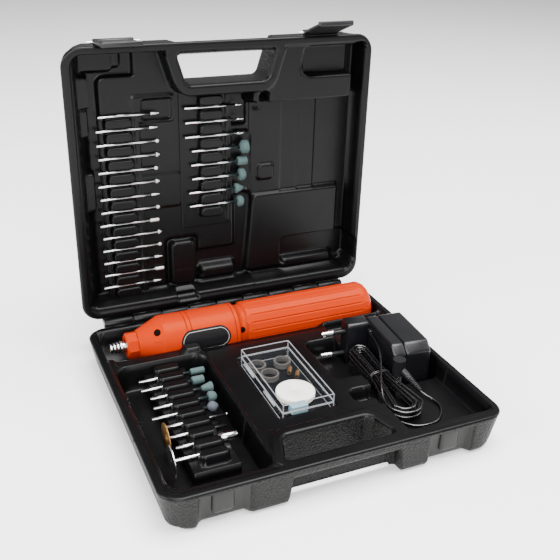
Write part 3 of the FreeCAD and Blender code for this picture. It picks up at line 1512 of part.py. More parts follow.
os.makedirs("parts", exist_ok=True)
for thing in doc.Objects:
    if "Invalid" in thing.State or "Error" in thing.State:
        raise RuntimeError("%s is %s" % (thing.Name, thing.State))
for node in NODES:
    if node.Shape.isNull() or not node.Shape.isValid():
        raise RuntimeError("%s has a bad shape" % node.Label)
    node.Shape.exportStep("parts/%s.step" % node.Label)
print(len(NODES), "nodes")
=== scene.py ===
import math

import bmesh
import bpy
import numpy as np
from mathutils import Matrix, Vector


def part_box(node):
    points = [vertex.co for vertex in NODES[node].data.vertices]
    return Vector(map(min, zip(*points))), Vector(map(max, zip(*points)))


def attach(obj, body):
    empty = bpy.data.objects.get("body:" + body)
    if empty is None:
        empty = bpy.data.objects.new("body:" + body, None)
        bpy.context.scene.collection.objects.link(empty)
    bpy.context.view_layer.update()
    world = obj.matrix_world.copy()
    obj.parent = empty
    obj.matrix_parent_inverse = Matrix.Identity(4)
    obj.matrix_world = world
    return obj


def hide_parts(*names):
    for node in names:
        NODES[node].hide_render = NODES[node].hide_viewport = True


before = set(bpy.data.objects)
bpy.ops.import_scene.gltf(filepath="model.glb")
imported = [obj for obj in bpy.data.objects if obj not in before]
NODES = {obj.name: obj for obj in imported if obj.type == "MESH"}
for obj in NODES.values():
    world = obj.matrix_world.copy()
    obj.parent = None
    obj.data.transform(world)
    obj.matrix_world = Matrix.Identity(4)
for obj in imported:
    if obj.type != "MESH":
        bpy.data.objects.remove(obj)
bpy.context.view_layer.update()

# The camera stands in front of the case, a little to its left, and looks down on it.
CAMERA_PLACE = Vector((-0.20347, -0.44406, 0.33576))
AZIMUTH, ELEVATION, ROLL = math.radians(-24.25), math.radians(26.02), math.radians(1.61)
FOCAL_LENGTH, SENSOR_WIDTH = 51.9, 36.0
ROOM_LIGHT = 0.5


def set_down(name, data):
    """Puts a camera, a lamp, a mesh or a curve into the scene as an object at the origin."""
    thing = bpy.data.objects.new(name, data)
    bpy.context.scene.collection.objects.link(thing)
    return thing


backward = Vector((math.sin(AZIMUTH) * math.cos(ELEVATION), -math.cos(AZIMUTH) * math.cos(ELEVATION),
                   math.sin(ELEVATION)))
level = (-backward).cross(Vector((0, 0, 1))).normalized()
upright = level.cross(-backward)
right = level * math.cos(ROLL) + upright * math.sin(ROLL)
top = upright * math.cos(ROLL) - level * math.sin(ROLL)
lens = bpy.data.cameras.new("camera")
lens.lens = FOCAL_LENGTH
lens.sensor_width = SENSOR_WIDTH
camera = set_down("camera", lens)
camera.matrix_world = Matrix.Translation(CAMERA_PLACE) @ Matrix((right, top, backward)).transposed().to_4x4()
bpy.context.scene.camera = camera


def lamp(name, place, aim, width, power):
    """A square soft light that looks from a place at a point."""
    light = bpy.data.lights.new(name, "AREA")
    light.size = width
    light.energy = power
    thing = set_down(name, light)
    thing.location = place
    thing.rotation_euler = (Vector(aim) - Vector(place)).to_track_quat("-Z", "Y").to_euler()


lamp("front_light", (-0.5, -1.5, 1.0), (0, 0, 0.05), 1.2, 62)
lamp("top_light", (0.3, -0.1, 1.7), (0, 0, 0.05), 1.4, 105)
lamp("left_light", (-1.6, -0.1, 0.8), (0, 0, 0.05), 0.9, 45)
lamp("right_light", (1.5, -0.5, 0.8), (0, 0, 0.1), 0.9, 14)
world = bpy.data.worlds.new("studio")
world.use_nodes = True
world.node_tree.nodes["Background"].inputs["Color"].default_value = (1, 1, 1, 1)
world.node_tree.nodes["Background"].inputs["Strength"].default_value = ROOM_LIGHT
bpy.context.scene.world = world


class Line:
    """One value in a material; a sum or a product with it adds a Math node."""

    def __init__(self, paint, socket):
        self.paint = paint
        self.socket = socket

    def __add__(self, other):
        return self.paint.node("ShaderNodeMath", {"operation": "ADD"}, {0: self, 1: other})

    def __mul__(self, other):
        return self.paint.node("ShaderNodeMath", {"operation": "MULTIPLY"}, {0: self, 1: other})

    __radd__, __rmul__ = __add__, __mul__


class Paint:
    """A material made of one shader and the nodes that feed it."""

    def __init__(self, name, colour, roughness, metallic=0.0, **fixed):
        self.material = bpy.data.materials.new(name)
        self.material.use_nodes = True
        self.tree = self.material.node_tree
        self.shader = self.tree.nodes["Principled BSDF"]
        fixed.update({"Base Color": colour, "Roughness": roughness, "Metallic": metallic})
        for socket, value in fixed.items():
            self.feed(socket.replace("_", " "), value)

    def plug(self, socket, value):
        """Links a line to a socket, or sets a colour or a number on it."""
        if isinstance(value, Line):
            self.tree.links.new(value.socket, socket)
        else:
            socket.default_value = value + (1.0,) if isinstance(value, tuple) else value

    def node(self, kind, settings, values, output=0):
        """Any node: its settings come first, then the values or lines of its sockets."""
        made = self.tree.nodes.new(kind)
        for key, value in settings.items():
            setattr(made, key, value)
        for key, value in values.items():
            self.plug(made.inputs[key], value)
        return Line(self, made.outputs[output])

    def feed(self, name, value):
        """Sets or links one socket of the shader."""
        self.plug(self.shader.inputs[name], value)

    def place(self):
        """The point's own place on the piece, in metres."""
        return self.node("ShaderNodeTexCoord", {}, {}, "Object")

    def noise(self, scale, detail=2.0, roughness=0.5):
        """Soft random blotches, scale of them to the metre."""
        values = {"Vector": self.place(), "Scale": scale, "Detail": detail, "Roughness": roughness}
        return self.node("ShaderNodeTexNoise", {}, values)

    def cells(self, scale):
        """Rounded cells, scale of them to the metre."""
        return self.node("ShaderNodeTexVoronoi", {"feature": "SMOOTH_F1"},
                         {"Vector": self.place(), "Scale": scale, "Smoothness": 0.6})

    def mix(self, factor, first, second):
        """The first colour where the factor is 0 and the second where it is 1."""
        return self.node("ShaderNodeMix", {"data_type": "RGBA"}, {0: factor, 6: first, 7: second}, 2)

    def relief(self, height, distance):
        """Small relief from a height that runs from 0 to 1, its size in metres."""
        self.feed("Normal", self.node("ShaderNodeBump", {}, {"Height": height, "Distance": distance}))
        return self


floor_paint = Paint("pale_floor", (0.9, 0.9, 0.9), 0.6)
blotches = floor_paint.noise(3.0)
floor_paint.feed("Base Color", floor_paint.mix(blotches, (0.89, 0.89, 0.89), (0.92, 0.92, 0.92)))
floor_mesh = bpy.data.meshes.new("floor")
floor_mesh.from_pydata([(-6, -6, 0), (6, -6, 0), (6, 8, 0), (-6, 8, 0)], [], [(0, 1, 2, 3)])
floor_mesh.materials.append(floor_paint.material)
set_down("floor", floor_mesh)

# Case base: a blow moulded double-wall tray of black plastic, smooth inside and pebbled outside.
# Its pockets hold the tool, the bits, the clear box, the lead and the adapter. A carrying bar closes its
# front, behind it the hand hole, and beside it a recess for each latch.
MM = 0.001
HALF_WIDTH, FRONT, REAR, RIM = 118.0, -104.2, 104.2, 27.0
CASE_CORNER, FOOT_ROUND, DRAFT, SIDE_DRAFT = 14.0, 5.0, 1.4, 3.8
HOLE_LIP, EDGE_LIP, LIP_WIDTH = 1.6, 1.3, 1.8
BAR_HALF, HOLE_NARROW, HOLE_WIDE, HOLE_CORNER = 38.4, 31.0, 38.0, 4.0
BASE_HOLE = (FRONT + 33.2, FRONT + 10.7)
LATCHES, LATCH_HALF, LATCH_SIDE = {"left": -80.5, "right": 75.5}, 15.6, 4.4
LEDGE, DECK, LEAD_FLOOR = 25.6, 23.0, 13.2
TOOL_Y, TOOL_Z, TROUGH = 77.9, 22.5, 19.4
ROW_PITCH, FIRST_ROW = 11.5, 31.6
STEP, PULL_REACH, HOLE_SLACK = 0.05, 0.62, 0.12


def finish_mesh(name, points, faces, paints, body, stands_for=(), face_paint=None, weld=0.0):
    """Puts points in millimetres and faces into a smooth mesh that rides on a body."""
    mesh = bpy.data.meshes.new(name)
    mesh.from_pydata((np.asarray(points) * MM).tolist(), [], [list(face) for face in faces])
    for paint in paints:
        mesh.materials.append(paint.material)
    mesh.polygons.foreach_set("use_smooth", np.ones(len(mesh.polygons), bool))
    if face_paint is not None:
        mesh.polygons.foreach_set("material_index", np.asarray(face_paint, np.int32))
    if weld:
        shape = bmesh.new()
        shape.from_mesh(mesh)
        bmesh.ops.remove_doubles(shape, verts=shape.verts, dist=weld * MM)
        bmesh.ops.recalc_face_normals(shape, faces=shape.faces)
        shape.to_mesh(mesh)
        shape.free()
    thing = set_down(name, mesh)
    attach(thing, body)
    if stands_for:
        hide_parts(*stands_for)
    return thing


def ease(value):
    """Smooth step of a share held between 0 and 1: its square times (3 less twice the share)."""
    value = np.clip(value, 0.0, 1.0)
    return value * value * (3.0 - 2.0 * value)


def box_distance(x, y, x0, x1, y0, y1, radius):
    """Distance to a rounded rectangle, negative inside: to its core rectangle, less the corner radius."""
    across = np.abs(x - (x0 + x1) / 2) - (x1 - x0) / 2 + radius
    along = np.abs(y - (y0 + y1) / 2) - (y1 - y0) / 2 + radius
    outside = np.hypot(np.maximum(across, 0), np.maximum(along, 0))
    return outside + np.minimum(np.maximum(across, along), 0) - radius


def form(height, x, y, rows):
    """Presses pockets down and raises blocks up, one row after the other.

    A row is down or up, the edges x0, x1, y0 and y1, the level, the corner radius and the sloped wall's width.
    Inside the edges the height moves to the level, by a share that eases from 0 to 1 over the wall."""
    for way, x0, x1, y0, y1, level, radius, wall in rows:
        share = ease(0.5 - box_distance(x, y, x0, x1, y0, y1, radius) / wall)
        moved = height > level if way == "down" else height < level
        height = np.where(moved, height + (level - height) * share, height)
    return height


def spaced(low, high, coarse, fine, spans, wanted):
    """Grid lines from low to high, fine steps inside the spans and coarse ones between them.

    The wanted lines take the place of any that lie close to them."""
    lines = [low]
    while lines[-1] < high - 1e-9:
        here = lines[-1]
        step = fine if any(a - fine <= here <= b for a, b in spans) else coarse
        ahead = [a - fine for a, b in spans if here < a - fine < here + step]
        lines.append(min([here + step, high] + ahead))
    between = [line for line in lines[1:-1] if min(abs(line - one) for one in wanted) > 0.45]
    return np.unique(np.array([lines[0], lines[-1]] + between + list(wanted)))


def hand_hole(x, y, narrow_y, wide_y):
    """Distance to the rounded hand hole, whose half width grows evenly from its narrow to its wide side."""
    share = np.clip((y - narrow_y) / (wide_y - narrow_y), 0, 1)
    half = HOLE_NARROW + (HOLE_WIDE - HOLE_NARROW) * share
    return box_distance(x, y, -half, half, min(narrow_y, wide_y), max(narrow_y, wide_y), HOLE_CORNER)


def hole_slant(x, y, narrow_y, wide_y):
    """Sideways shift that lays the grid's lines along the hand hole's slanted sides and fades out round it."""
    share = np.clip((y - narrow_y) / (wide_y - narrow_y), 0, 1)
    beyond = np.maximum(np.abs(y - (narrow_y + wide_y) / 2) - np.abs(wide_y - narrow_y) / 2, 0)
    weight = ease((np.abs(x) - 10) / 16) * ease((72 - np.abs(x)) / 22) * ease(1 - beyond / 14)
    return ((HOLE_WIDE - HOLE_NARROW) * (share - 0.5)) * weight


def slopes(distance, x, y):
    """How fast a distance grows along x and along y: its difference over two small steps, by their length."""
    return ((distance(x + STEP, y) - distance(x - STEP, y)) / (2 * STEP),
            (distance(x, y + STEP) - distance(x, y - STEP)) / (2 * STEP))


def latch_recess(x):
    """1 in the latch recesses and 0 beside them, eased at their sides."""
    share = np.zeros(np.shape(x))
    for centre in LATCHES.values():
        share = np.maximum(share, ease(0.5 + (LATCH_HALF - np.abs(x - centre)) / LATCH_SIDE))
    return share


def grid_quads(index):
    """The quads of an index grid, as rows of four corners."""
    return np.stack([index[:-1, :-1], index[1:, :-1], index[1:, 1:], index[:-1, 1:]], -1).reshape(-1, 4)


def loop_edges(kept, index):
    """Directed edges round the kept quads that no other kept quad shares."""
    quads = grid_quads(index)[kept.ravel()]
    edges = np.concatenate([np.stack([quads[:, k], quads[:, (k + 1) % 4]], -1) for k in range(4)])
    size = index.max() + 1
    return edges[~np.isin(edges[:, 0] * size + edges[:, 1], edges[:, 1] * size + edges[:, 0])]


def case_half(across, along, depth, hole_ends, bar, inner, recess, smooth, rows):
    """A double-wall half shell over one grid: points, faces and kinds, 0 inside, 1 outside, 2 smooth outside.

    The inside and the outside are two heights over the same grid, with the hand hole left out of both.
    The grid's square corners are drawn in to round ones, and its lines are pulled onto the hole's edge.
    Outside, the wall stands in from the rim by its draft, the round at its foot and the latch recesses."""
    x, y = np.meshgrid(across, along, indexing="ij")
    half_x, half_y, centre = across[-1], (along[-1] - along[0]) / 2, (along[-1] + along[0]) / 2

    def hole(x, y):
        return hand_hole(x, y, *hole_ends)

    def edge(x, y):
        return box_distance(x, y, -half_x, half_x, centre - half_y, centre + half_y, CASE_CORNER)

    def inset(x, y, height, low):
        at_side = np.clip((np.abs(x) - 100) / 10, 0, 1)
        draft = (DRAFT + SIDE_DRAFT * at_side) * (depth - height) / depth
        over = np.clip((low + FOOT_ROUND - height) / FOOT_ROUND, 0, 0.999)
        foot = FOOT_ROUND * (1 - np.sqrt(1 - over ** 2))
        return draft + foot + latch_recess(x) * recess(y, height)

    dx = np.maximum(np.abs(x) - (half_x - CASE_CORNER), 0)
    dy = np.maximum(np.abs(y - centre) - (half_y - CASE_CORNER), 0)
    squeeze = np.where((dx > 0) & (dy > 0), np.maximum(dx, dy) / np.maximum(np.hypot(dx, dy), 1e-9), 1.0)
    x = np.where(dx > 0, np.sign(x) * (half_x - CASE_CORNER + dx * squeeze), x)
    y = np.where(dy > 0, centre + np.sign(y - centre) * (half_y - CASE_CORNER + dy * squeeze), y)
    x = x + np.sign(x) * hole_slant(x, y, *hole_ends)
    for _ in range(3):
        gap = hole(x, y)
        slope_x, slope_y = slopes(hole, x, y)
        near = np.abs(gap) < PULL_REACH
        x = np.where(near, x - gap * slope_x, x)
        y = np.where(near, y - gap * slope_y, y)
    gap, edge_gap = hole(x, y), -edge(x, y)
    kept = (gap[:-1, :-1] + gap[1:, :-1] + gap[1:, 1:] + gap[:-1, 1:]) / 4 > -HOLE_SLACK
    index = np.arange(x.size).reshape(x.shape)
    high = np.minimum(inner(x, y, gap), depth - HOLE_LIP * (1 - ease((gap + 0.1) / LIP_WIDTH)))
    high = high - EDGE_LIP * (1 - ease(edge_gap / 1.6 + 0.12)) ** 2
    low = form(np.zeros(x.shape), x, y, (("up", -BAR_HALF, BAR_HALF, *bar, 2.0, 3.0),))
    upper = np.stack([x, y, high], -1).reshape(-1, 3)
    pull_x, pull_y = slopes(edge, x, y)
    drawn_in = inset(x, y, low, low) * (1.0 - ease(edge_gap / CASE_CORNER))
    lower = np.stack([x - pull_x * drawn_in, y - pull_y * drawn_in, low], -1).reshape(-1, 3)

    quads = grid_quads(index)[kept.ravel()]
    points, start = [upper, lower], 2 * x.size
    faces, kinds = [quads, quads[:, ::-1] + x.size], [np.zeros(len(quads)), np.ones(len(quads))]
    edges = loop_edges(kept, index)
    rim_edge = (edge_gap.ravel()[edges] < 1e-3).all(axis=1)
    normal = np.stack([pull_x, pull_y], -1).reshape(-1, 2)
    for chosen, is_rim, steps in ((edges[rim_edge], True, rows), (edges[~rim_edge], False, 7)):
        used, local = np.unique(chosen, return_inverse=True)
        local = local.reshape(-1, 2)
        levels = [used]
        for share in np.linspace(0, 1, steps + 1)[1:-1]:
            height = upper[used, 2] + (lower[used, 2] - upper[used, 2]) * share
            flat = upper[used, :2] + (lower[used, :2] - upper[used, :2]) * share
            if is_rim:
                pull = inset(upper[used, 0], upper[used, 1], height, lower[used, 2])
                flat = upper[used, :2] - normal[used] * pull[:, None]
            points.append(np.column_stack([flat, height]))
            levels.append(np.arange(start, start + len(used)))
            start += len(used)
        levels.append(used + x.size)
        for first, second in zip(levels, levels[1:]):
            faces.append(np.stack([first[local[:, 1]], first[local[:, 0]],
                                   second[local[:, 0]], second[local[:, 1]]], -1))
            kinds.append(np.ones(len(local)))
    points, faces, kinds = np.concatenate(points), np.concatenate(faces), np.concatenate(kinds)
    middle = points[faces].mean(axis=1)
    smoothed = (kinds == 1) & (latch_recess(middle[:, 0]) > 0.4) & smooth(middle[:, 1], middle[:, 2])
    return points, faces, np.where(smoothed, 2, kinds)


def base_inner(x, y, gap):
    """Height of the tray's inside, where gap is the distance to the hand hole.

    The deck is pressed down from the rim and the pockets from the deck. The trough of the tool is a cylinder:
    the axis height less the root of radius squared less offset squared."""
    height = form(np.full(x.shape, RIM), x, y, (("down", -112, 112.2, -98, 98, LEDGE, 6, 1.4),))
    surround = ease(0.5 + (8.0 - gap) / 1.8) * (y < -50)
    height = np.maximum(height, LEDGE + (RIM - LEDGE) * surround)
    height = form(height, x, y, (
        ("down", -108.6, -45, -92.5, 43.6, 6, 8, 3.4),  # bay of the bit rack
        ("down", -42, 111, -60.5, 60, DECK, 6, 2.4),  # deck
        ("down", -107, -40, 47.3, 60, DECK, 4, 2.4)))  # step in front of the tool's nose
    # Two small ribs on the left wall of the bay, each a bell curve along x and along y.
    ridge = (np.exp(-((x + 107.6) / 2.6) ** 2)
             * (np.exp(-((y - 5.0) / 1.2) ** 2) + np.exp(-((y - 0.5) / 1.2) ** 2)))
    height = np.where(height < RIM - 2, height + 6.0 * ridge, height)
    height = form(height, x, y, (
        ("down", -22.9, 18.9, -48.2, 30.2, 17, 1.5, 1.6),  # seat of the clear box
        ("down", 49, 111.3, -93, 31, LEAD_FLOOR, 3, 2.2),  # bay of the lead
        ("down", 75.4, 111.4, -30.2, 32.2, 4, 4, 3),  # well of the adapter
        ("down", 60.2, 94, 15, 32.2, 4, 3, 2.6),  # its corner under the plug block
        ("down", 60.2, 111.3, 31.2, 55.8, 16, 4, 2.6),  # step behind the adapter
        ("down", 34, 61.8, -19, 32.2, 9, 4, 3.4),  # well of the pins
        ("down", 34.6, 51, -49.4, -36.6, LEAD_FLOOR, 4, 3.4),  # notch that lets the lead turn
        ("up", 46, 54.2, -36.4, -20.6, DECK, 2.5, 2)))  # post beside the hank
    # Towards the tool the deck falls away over a chamfer.
    dip = 3.6 * ease((y - 47.0) / 10.0) * ease((x + 43.0) / 3.0) * ease((62.0 - x) / 6.0) * (y < 62)
    chamfer = np.maximum(DECK - dip, 18.0) + 9.0 * (dip < 0.01)
    height = np.where(height > 18, np.minimum(height, chamfer), height)
    # The trough, blended in over a narrow wall along the tool and at its two ends.
    trough = TOOL_Z - np.sqrt(np.maximum(TROUGH ** 2 - (y - TOOL_Y) ** 2, 0))
    across = ease((TROUGH - np.abs(y - TOOL_Y)) / 0.9 + 0.5)
    ends = ease((111.0 - np.abs(x)) / 1.8 + 0.5)
    height = np.where(trough < height, height + (trough - height) * across * ends, height)
    return form(height, x, y, (("up", -57, -43, 50, 58.6, 27.8, 3, 2.2),))


def plastic(name, colour, roughness, grain, depth, mottle=0.0, gloss=0.25):
    """Moulded plastic: a fine grain in its surface and a faint mottle in its gloss and colour."""
    paint = Paint(name, colour, roughness, Specular_IOR_Level=gloss)
    wide = paint.noise(55.0, 3.0)
    paint.feed("Roughness", roughness - 0.07 + 0.14 * wide)
    paint.feed("Base Color", paint.mix(wide, colour, tuple(value * (1.0 + mottle) for value in colour)))
    return paint.relief(paint.noise(grain, 2.0, 0.6), depth)


inner_paint = plastic("case_inside", (0.0012, 0.0012, 0.0014), 0.33, 1500.0, 0.00003, 0.3, 0.15)
outer_paint = Paint("case_outside", (0.01, 0.01, 0.0105), 0.5, Specular_IOR_Level=0.16)
pebbles = outer_paint.cells(760.0)
outer_paint.feed("Base Color", outer_paint.mix(pebbles, (0.0105, 0.0100, 0.0095), (0.0012, 0.0012, 0.0012)))
outer_paint.relief(pebbles, 0.0006)
recess_paint = plastic("case_recess", (0.0105, 0.0102, 0.0098), 0.4, 1500.0, 0.00003, 0.4, 0.2)
CASE_PAINTS = [inner_paint, outer_paint, recess_paint]
HOLE_LINES = (-(HOLE_NARROW + HOLE_WIDE) / 2, (HOLE_NARROW + HOLE_WIDE) / 2)

base_x = spaced(-HALF_WIDTH, HALF_WIDTH, 2.4, 0.9,
                ((-118, -103), (-54, -20), (17, 21), (26, 64), (73, 79), (90, 94), (107, 118)), HOLE_LINES)
base_y = spaced(FRONT, REAR, 2.4, 0.9,
                ((-105, -58), (-52, -46), (-40, -16), (-2, 8), (12, 18), (28, 62), (94, 105)), BASE_HOLE)
points, faces, kinds = case_half(
    base_x, base_y, RIM, BASE_HOLE, (FRONT - 20, FRONT + 10.0, 18.0), base_inner,
    lambda y, height: 4.6 * (y < FRONT + 16) * ease((RIM - 2.6 - height) / 1.6),
    lambda y, height: (y < FRONT + 8) & (height < RIM - 2.8), 18)
finish_mesh("case_base_tray", points, faces, CASE_PAINTS, "case", ["case_base"], kinds)

# Bit rack in the base: a moulded block on the floor of its bay, with a rounded pillow between each two bits.
# The shanks are pressed down into the grooves between the pillows.
RACK_GRID, RACK_GROUND = 0.55, 6.4


def relief_block(name, across, along, surface, bottom, place, body, paint=inner_paint):
    """A block whose top is a height over a grid, with upright sides and a flat bottom."""
    x, y = np.meshgrid(across, along, indexing="ij")
    height = np.maximum(surface(x, y), bottom + 0.02)
    top_points = np.stack([x, y, height], -1).reshape(-1, 3)
    index = np.arange(x.size).reshape(x.shape)
    loop = np.concatenate([index[:, 0], index[-1, 1:], index[-2::-1, -1], index[0, -2:0:-1]])
    foot = top_points[loop].copy()
    foot[:, 2] = bottom
    feet = np.arange(len(loop)) + x.size
    sides = np.stack([loop, np.roll(loop, -1), np.roll(feet, -1), feet], -1)
    faces = grid_quads(index).tolist() + sides.tolist() + [feet.tolist()]
    points = place(np.concatenate([top_points, foot]))
    return finish_mesh(name, points, faces, [paint], body, weld=0.001)


def pillows(height, x, y, x0, x1, first, pitch, numbers, groove, low, crest, corner):
    """Rounded pillows from one bit row to the next, less the groove on each side that holds a shank.

    A pillow rises from low by its crest times the root of 1 less the square of what is left of its round."""
    for number in numbers:
        start, end = first - (number + 1) * pitch + groove, first - number * pitch - groove
        depth = -box_distance(x, y, x0, x1, start, end, corner)
        height = np.maximum(height, low + crest * np.sqrt(1 - (1 - np.clip(depth / 1.9, 0, 1)) ** 2))
    return height


def base_rack(x, y):
    """Height of the rack: a two-step plinth, ten pillows, and a V-shaped seat for the drum of one bit."""
    height = form(np.full(x.shape, RACK_GROUND), x, y, (
        ("up", -87.8, -61.2, -72.8, 42, 12.6, 3, 1.2), ("up", -85.8, -62.8, -71.2, 41, 17.2, 3, 1.2)))
    height = pillows(height, x, y, -84.0, -64.0, FIRST_ROW, ROW_PITCH, range(-1, 9), 1.1, 17.0, 7.0, 3.8)
    drum = np.abs(y - (FIRST_ROW - 7 * ROW_PITCH))
    return np.where((x > -67.0) & (drum < 3.4), np.minimum(height, 15.9 + 0.4 * drum), height)


relief_block("base_bit_rack", np.arange(-89.5, -59.2, RACK_GRID), np.arange(-74.6, 43.0, RACK_GRID),
             base_rack, 5.2, lambda points: points, "case")

# Lid: the matching half shell, hinged at the rear, with two bit racks, a hand hole and hollows that clear
# what stands up in the base. It is drawn lying on its back, then stood up so that its inside faces the front.
LID_Y, LID_Z, LID_LENGTH, LID_DEPTH = 108.7, 31.3, 205.4, 25.0
LID_HOLE = (175.2, 197.7)
CONE_X, CONE_RADIUS, CONE_SLOPE, TOOL_RADIUS = -71.78, 16.69, 0.459, 18.9
TOOL_IN_LID, TOOL_UNDER_LID = 26.3, 29.2
LEFT_FIRST, LEFT_PITCH, LEFT_DEPTH = 153.1, 10.38, 16.3
RIGHT_FIRST, RIGHT_PITCH, RIGHT_DEPTH = 155.2, 11.04, 14.0


def stand_on_lid(points):
    """From the lid's own frame (across, up from the hinge, height above its back) to the open lid."""
    return np.column_stack([points[:, 0], LID_Y + LID_DEPTH - points[:, 2], LID_Z + points[:, 1]])


def clear_of_tool(height, x, v):
    """A height kept off the tool of the shut lid, with a pocket for the switch.

    The room is the tool's axis less the root of radius squared less offset squared."""
    radius = np.clip(CONE_RADIUS + CONE_SLOPE * (x - CONE_X), 0, TOOL_RADIUS) * ease((111.5 - x) / 3.0)
    off = v - TOOL_IN_LID
    room = TOOL_UNDER_LID - np.sqrt(np.maximum(radius ** 2 - off ** 2, 0))
    height = np.where(np.abs(off) < radius, np.minimum(height, room), height)
    return form(height, x, v, (("down", -42, -25.5, 4.6, 14, 15.8, 1, 0.8),))


def carve(height, x, v, rows):
    """As form, with the levels given as depths below the lid's rim."""
    return form(height, x, v, [row[:5] + (LID_DEPTH - row[5],) + row[6:] for row in rows])


def lid_inner(x, v, gap):
    """Height of the lid's inside above its back plane, where gap is the distance to the hand hole."""
    height = carve(np.full(x.shape, LID_DEPTH), x, v, (
        ("down", -112, 112.4, 5.6, 199.4, 1.4, 8, 1.6),  # ledge inside the rim
        ("down", -111, 26, 10, 198.6, 21.5, 7, 3)))  # left hollow
    # The left wall slopes down to the bottom of the hollow, and the steps below stand on it.
    side_slope = LID_DEPTH - 3.0 - 18.5 * ease((x + 112.0) / 13.5)
    height = np.where((x < -96) & (v > 12) & (v < 198), np.maximum(height, side_slope), height)
    height = carve(height, x, v, (
        ("up", -116, -98.7, 161, 183.5, 9, 2, 1.4),  # three steps on the left wall
        ("up", -116, -100.5, 140.5, 160.5, 11, 2, 1.4),
        ("up", -116, -98.8, 84, 113, 12.5, 2, 1.4),
        ("up", -91.5, 24, 12, 181, 18.2, 5, 2.6),  # plate behind the racks, with its tab and corner steps
        ("up", -65.5, -30, 170, 203, 18.2, 4, 2.6),
        ("up", -116, -80, 185, 203, 15.5, 4, 2.4),
        ("up", -80.5, -74.5, 187.5, 203, 16.5, 2, 2),
        ("down", 20, 112, 9, 176, 18.2, 6, 3),  # right hollow
        ("up", -68, -36.5, 146.5, 166, 17.2, 2, 1),  # frame round a hollow behind the upper points
        ("down", -60.5, -37.5, 147.5, 163, 20, 2.5, 1.4),
        ("up", -66, -32, 79, 106, 17.3, 3.5, 0.9),  # raised field between the racks
        ("down", -46, -20, 10, 51, 21, 3, 3),  # pocket near the hinge and the pad in it
        ("up", -43, -22.5, 11, 49, 14.6, 4.5, 2.6),
        ("down", -20, 17.5, 16, 38.5, 21.5, 2.5, 2.4),  # hollow above the shelf, and the shelf
        ("up", -18.5, 16, 13, 24, 14.8, 2.5, 5.5),
        ("down", 11, 25, 10, 84, 21.5, 5, 4),  # channel beside the slanted panel, up to the hand hole
        ("down", 8.5, 24, 84, 134, 20.6, 4, 3),
        ("down", 8.5, 21, 139, 166, 22, 1.6, 1.4),
        ("down", 51, 112, 80, 158, 18.9, 1, 0.9),  # three shallow steps down to the right
        ("down", 66, 112, 80, 158, 19.7, 1, 0.9),
        ("down", 81, 112, 76, 158, 20.6, 1, 1.8),
        ("up", 31, 45, 92.5, 105, 15.8, 3, 1.6)))  # pillar
    # The slanted panel on the right, whose two sides both lean to the right as they rise from the hinge.
    lean = x - (v - 15.0) * 0.09
    height = carve(height, lean, v, (("up", 20.5, 102, 14, 80.5, 15.2, 3.5, 3.4),))
    height = carve(height, x, v, (
        ("down", 52, 114, 14, 39.5, 22.8, 5, 1.8),  # grip recess of the slanted panel, and its foot
        ("up", 54, 101, 11, 19.5, 16.6, 2, 4.4),
        ("up", 20, 103, 157, 203, 1.4, 4, 3.4),  # raised land on the right of the carrying bar
        ("down", 26, 33, 150, 165, 19, 2.5, 3),
        ("down", 61.5, 110, 176, 197.2, 13, 5.5, 2.2),
        ("down", 103, 112.4, 10, 199, 20.6, 4, 2)))  # long hollow along the right wall
    height = np.maximum(height, LID_DEPTH * ease(0.5 + (9.0 - gap) / 2.0))
    return clear_of_tool(carve(height, x, v, (("up", -108, 110, 7.6, 9.4, 2.2, 0.8, 1.4),)), x, v)


lid_x = spaced(-HALF_WIDTH, HALF_WIDTH, 2.2, 0.92, ((-118, -96), (-94, -89), (-82, -72), (-69, -17), (7, 35),
                                                     (42, 54), (64, 68), (79, 83), (98, 118)), HOLE_LINES)
lid_v = spaced(0.0, LID_LENGTH, 2.2, 0.92, ((0, 26), (36, 52), (76, 86), (90, 116), (132, 206)), LID_HOLE)
points, faces, kinds = case_half(
    lid_x, lid_v, LID_DEPTH, LID_HOLE, (LID_LENGTH - 10.0, LID_LENGTH + 20, 16.0), lid_inner,
    lambda v, height: (2.0 * (v > LID_LENGTH - 16) * ease((height - LID_DEPTH + 14.0) / 2.0)
                       * ease(LID_DEPTH - 0.4 - height)),
    lambda v, height: (v > LID_LENGTH - 8) & (height > LID_DEPTH - 14), 14)
finish_mesh("case_lid_shell", stand_on_lid(points), faces, CASE_PAINTS, "lid", ["case_lid"],
            kinds)


def left_rack(x, v):
    """The long rack: a slab with fourteen pillows and a ridge that the heads lie beyond."""
    lean = x + (v - 90.0) * 0.004
    height = form(np.full(x.shape, RACK_GROUND), lean, v, (("up", -92, -62, 9.5, 153, 7.6, 2, 1),))
    height = pillows(height, lean, v, -89.5, -68.0, LEFT_FIRST, LEFT_PITCH, range(14), 0.75, 6.6, 5.8, 3.9)
    ridge = np.abs(lean + 64.3) < 1.6
    return clear_of_tool(np.where(ridge & (v > 10) & (v < 152), np.maximum(height, 8.6), height), x, v)


def right_rack(x, v):
    """The short rack: a sunk slab in a thin frame, nine pillows and a ridge on the right."""
    height = form(np.full(x.shape, RACK_GROUND), x, v, (
        ("up", -31.5, 7.5, 60.5, 168.5, 8, 2, 0.9), ("down", -30, -20.5, 62, 168, 7, 1.5, 0.9)))
    height = pillows(height, x, v, -19.0, 0.6, RIGHT_FIRST, RIGHT_PITCH, range(-1, 8), 0.8, 8.0, 6.4, 4.0)
    ridge = np.abs(x - 4.6) < 0.9
    return np.where(ridge & (v > 62) & (v < 167), np.maximum(height, 9.4), height)


relief_block("left_lid_rack", np.arange(-93.0, -60.9, RACK_GRID), np.arange(8.6, 154.0, RACK_GRID),
             left_rack, 3.2, stand_on_lid, "lid")
relief_block("right_lid_rack", np.arange(-32.5, 8.5, RACK_GRID), np.arange(59.5, 168.6, RACK_GRID),
             right_rack, 3.2, stand_on_lid, "lid")

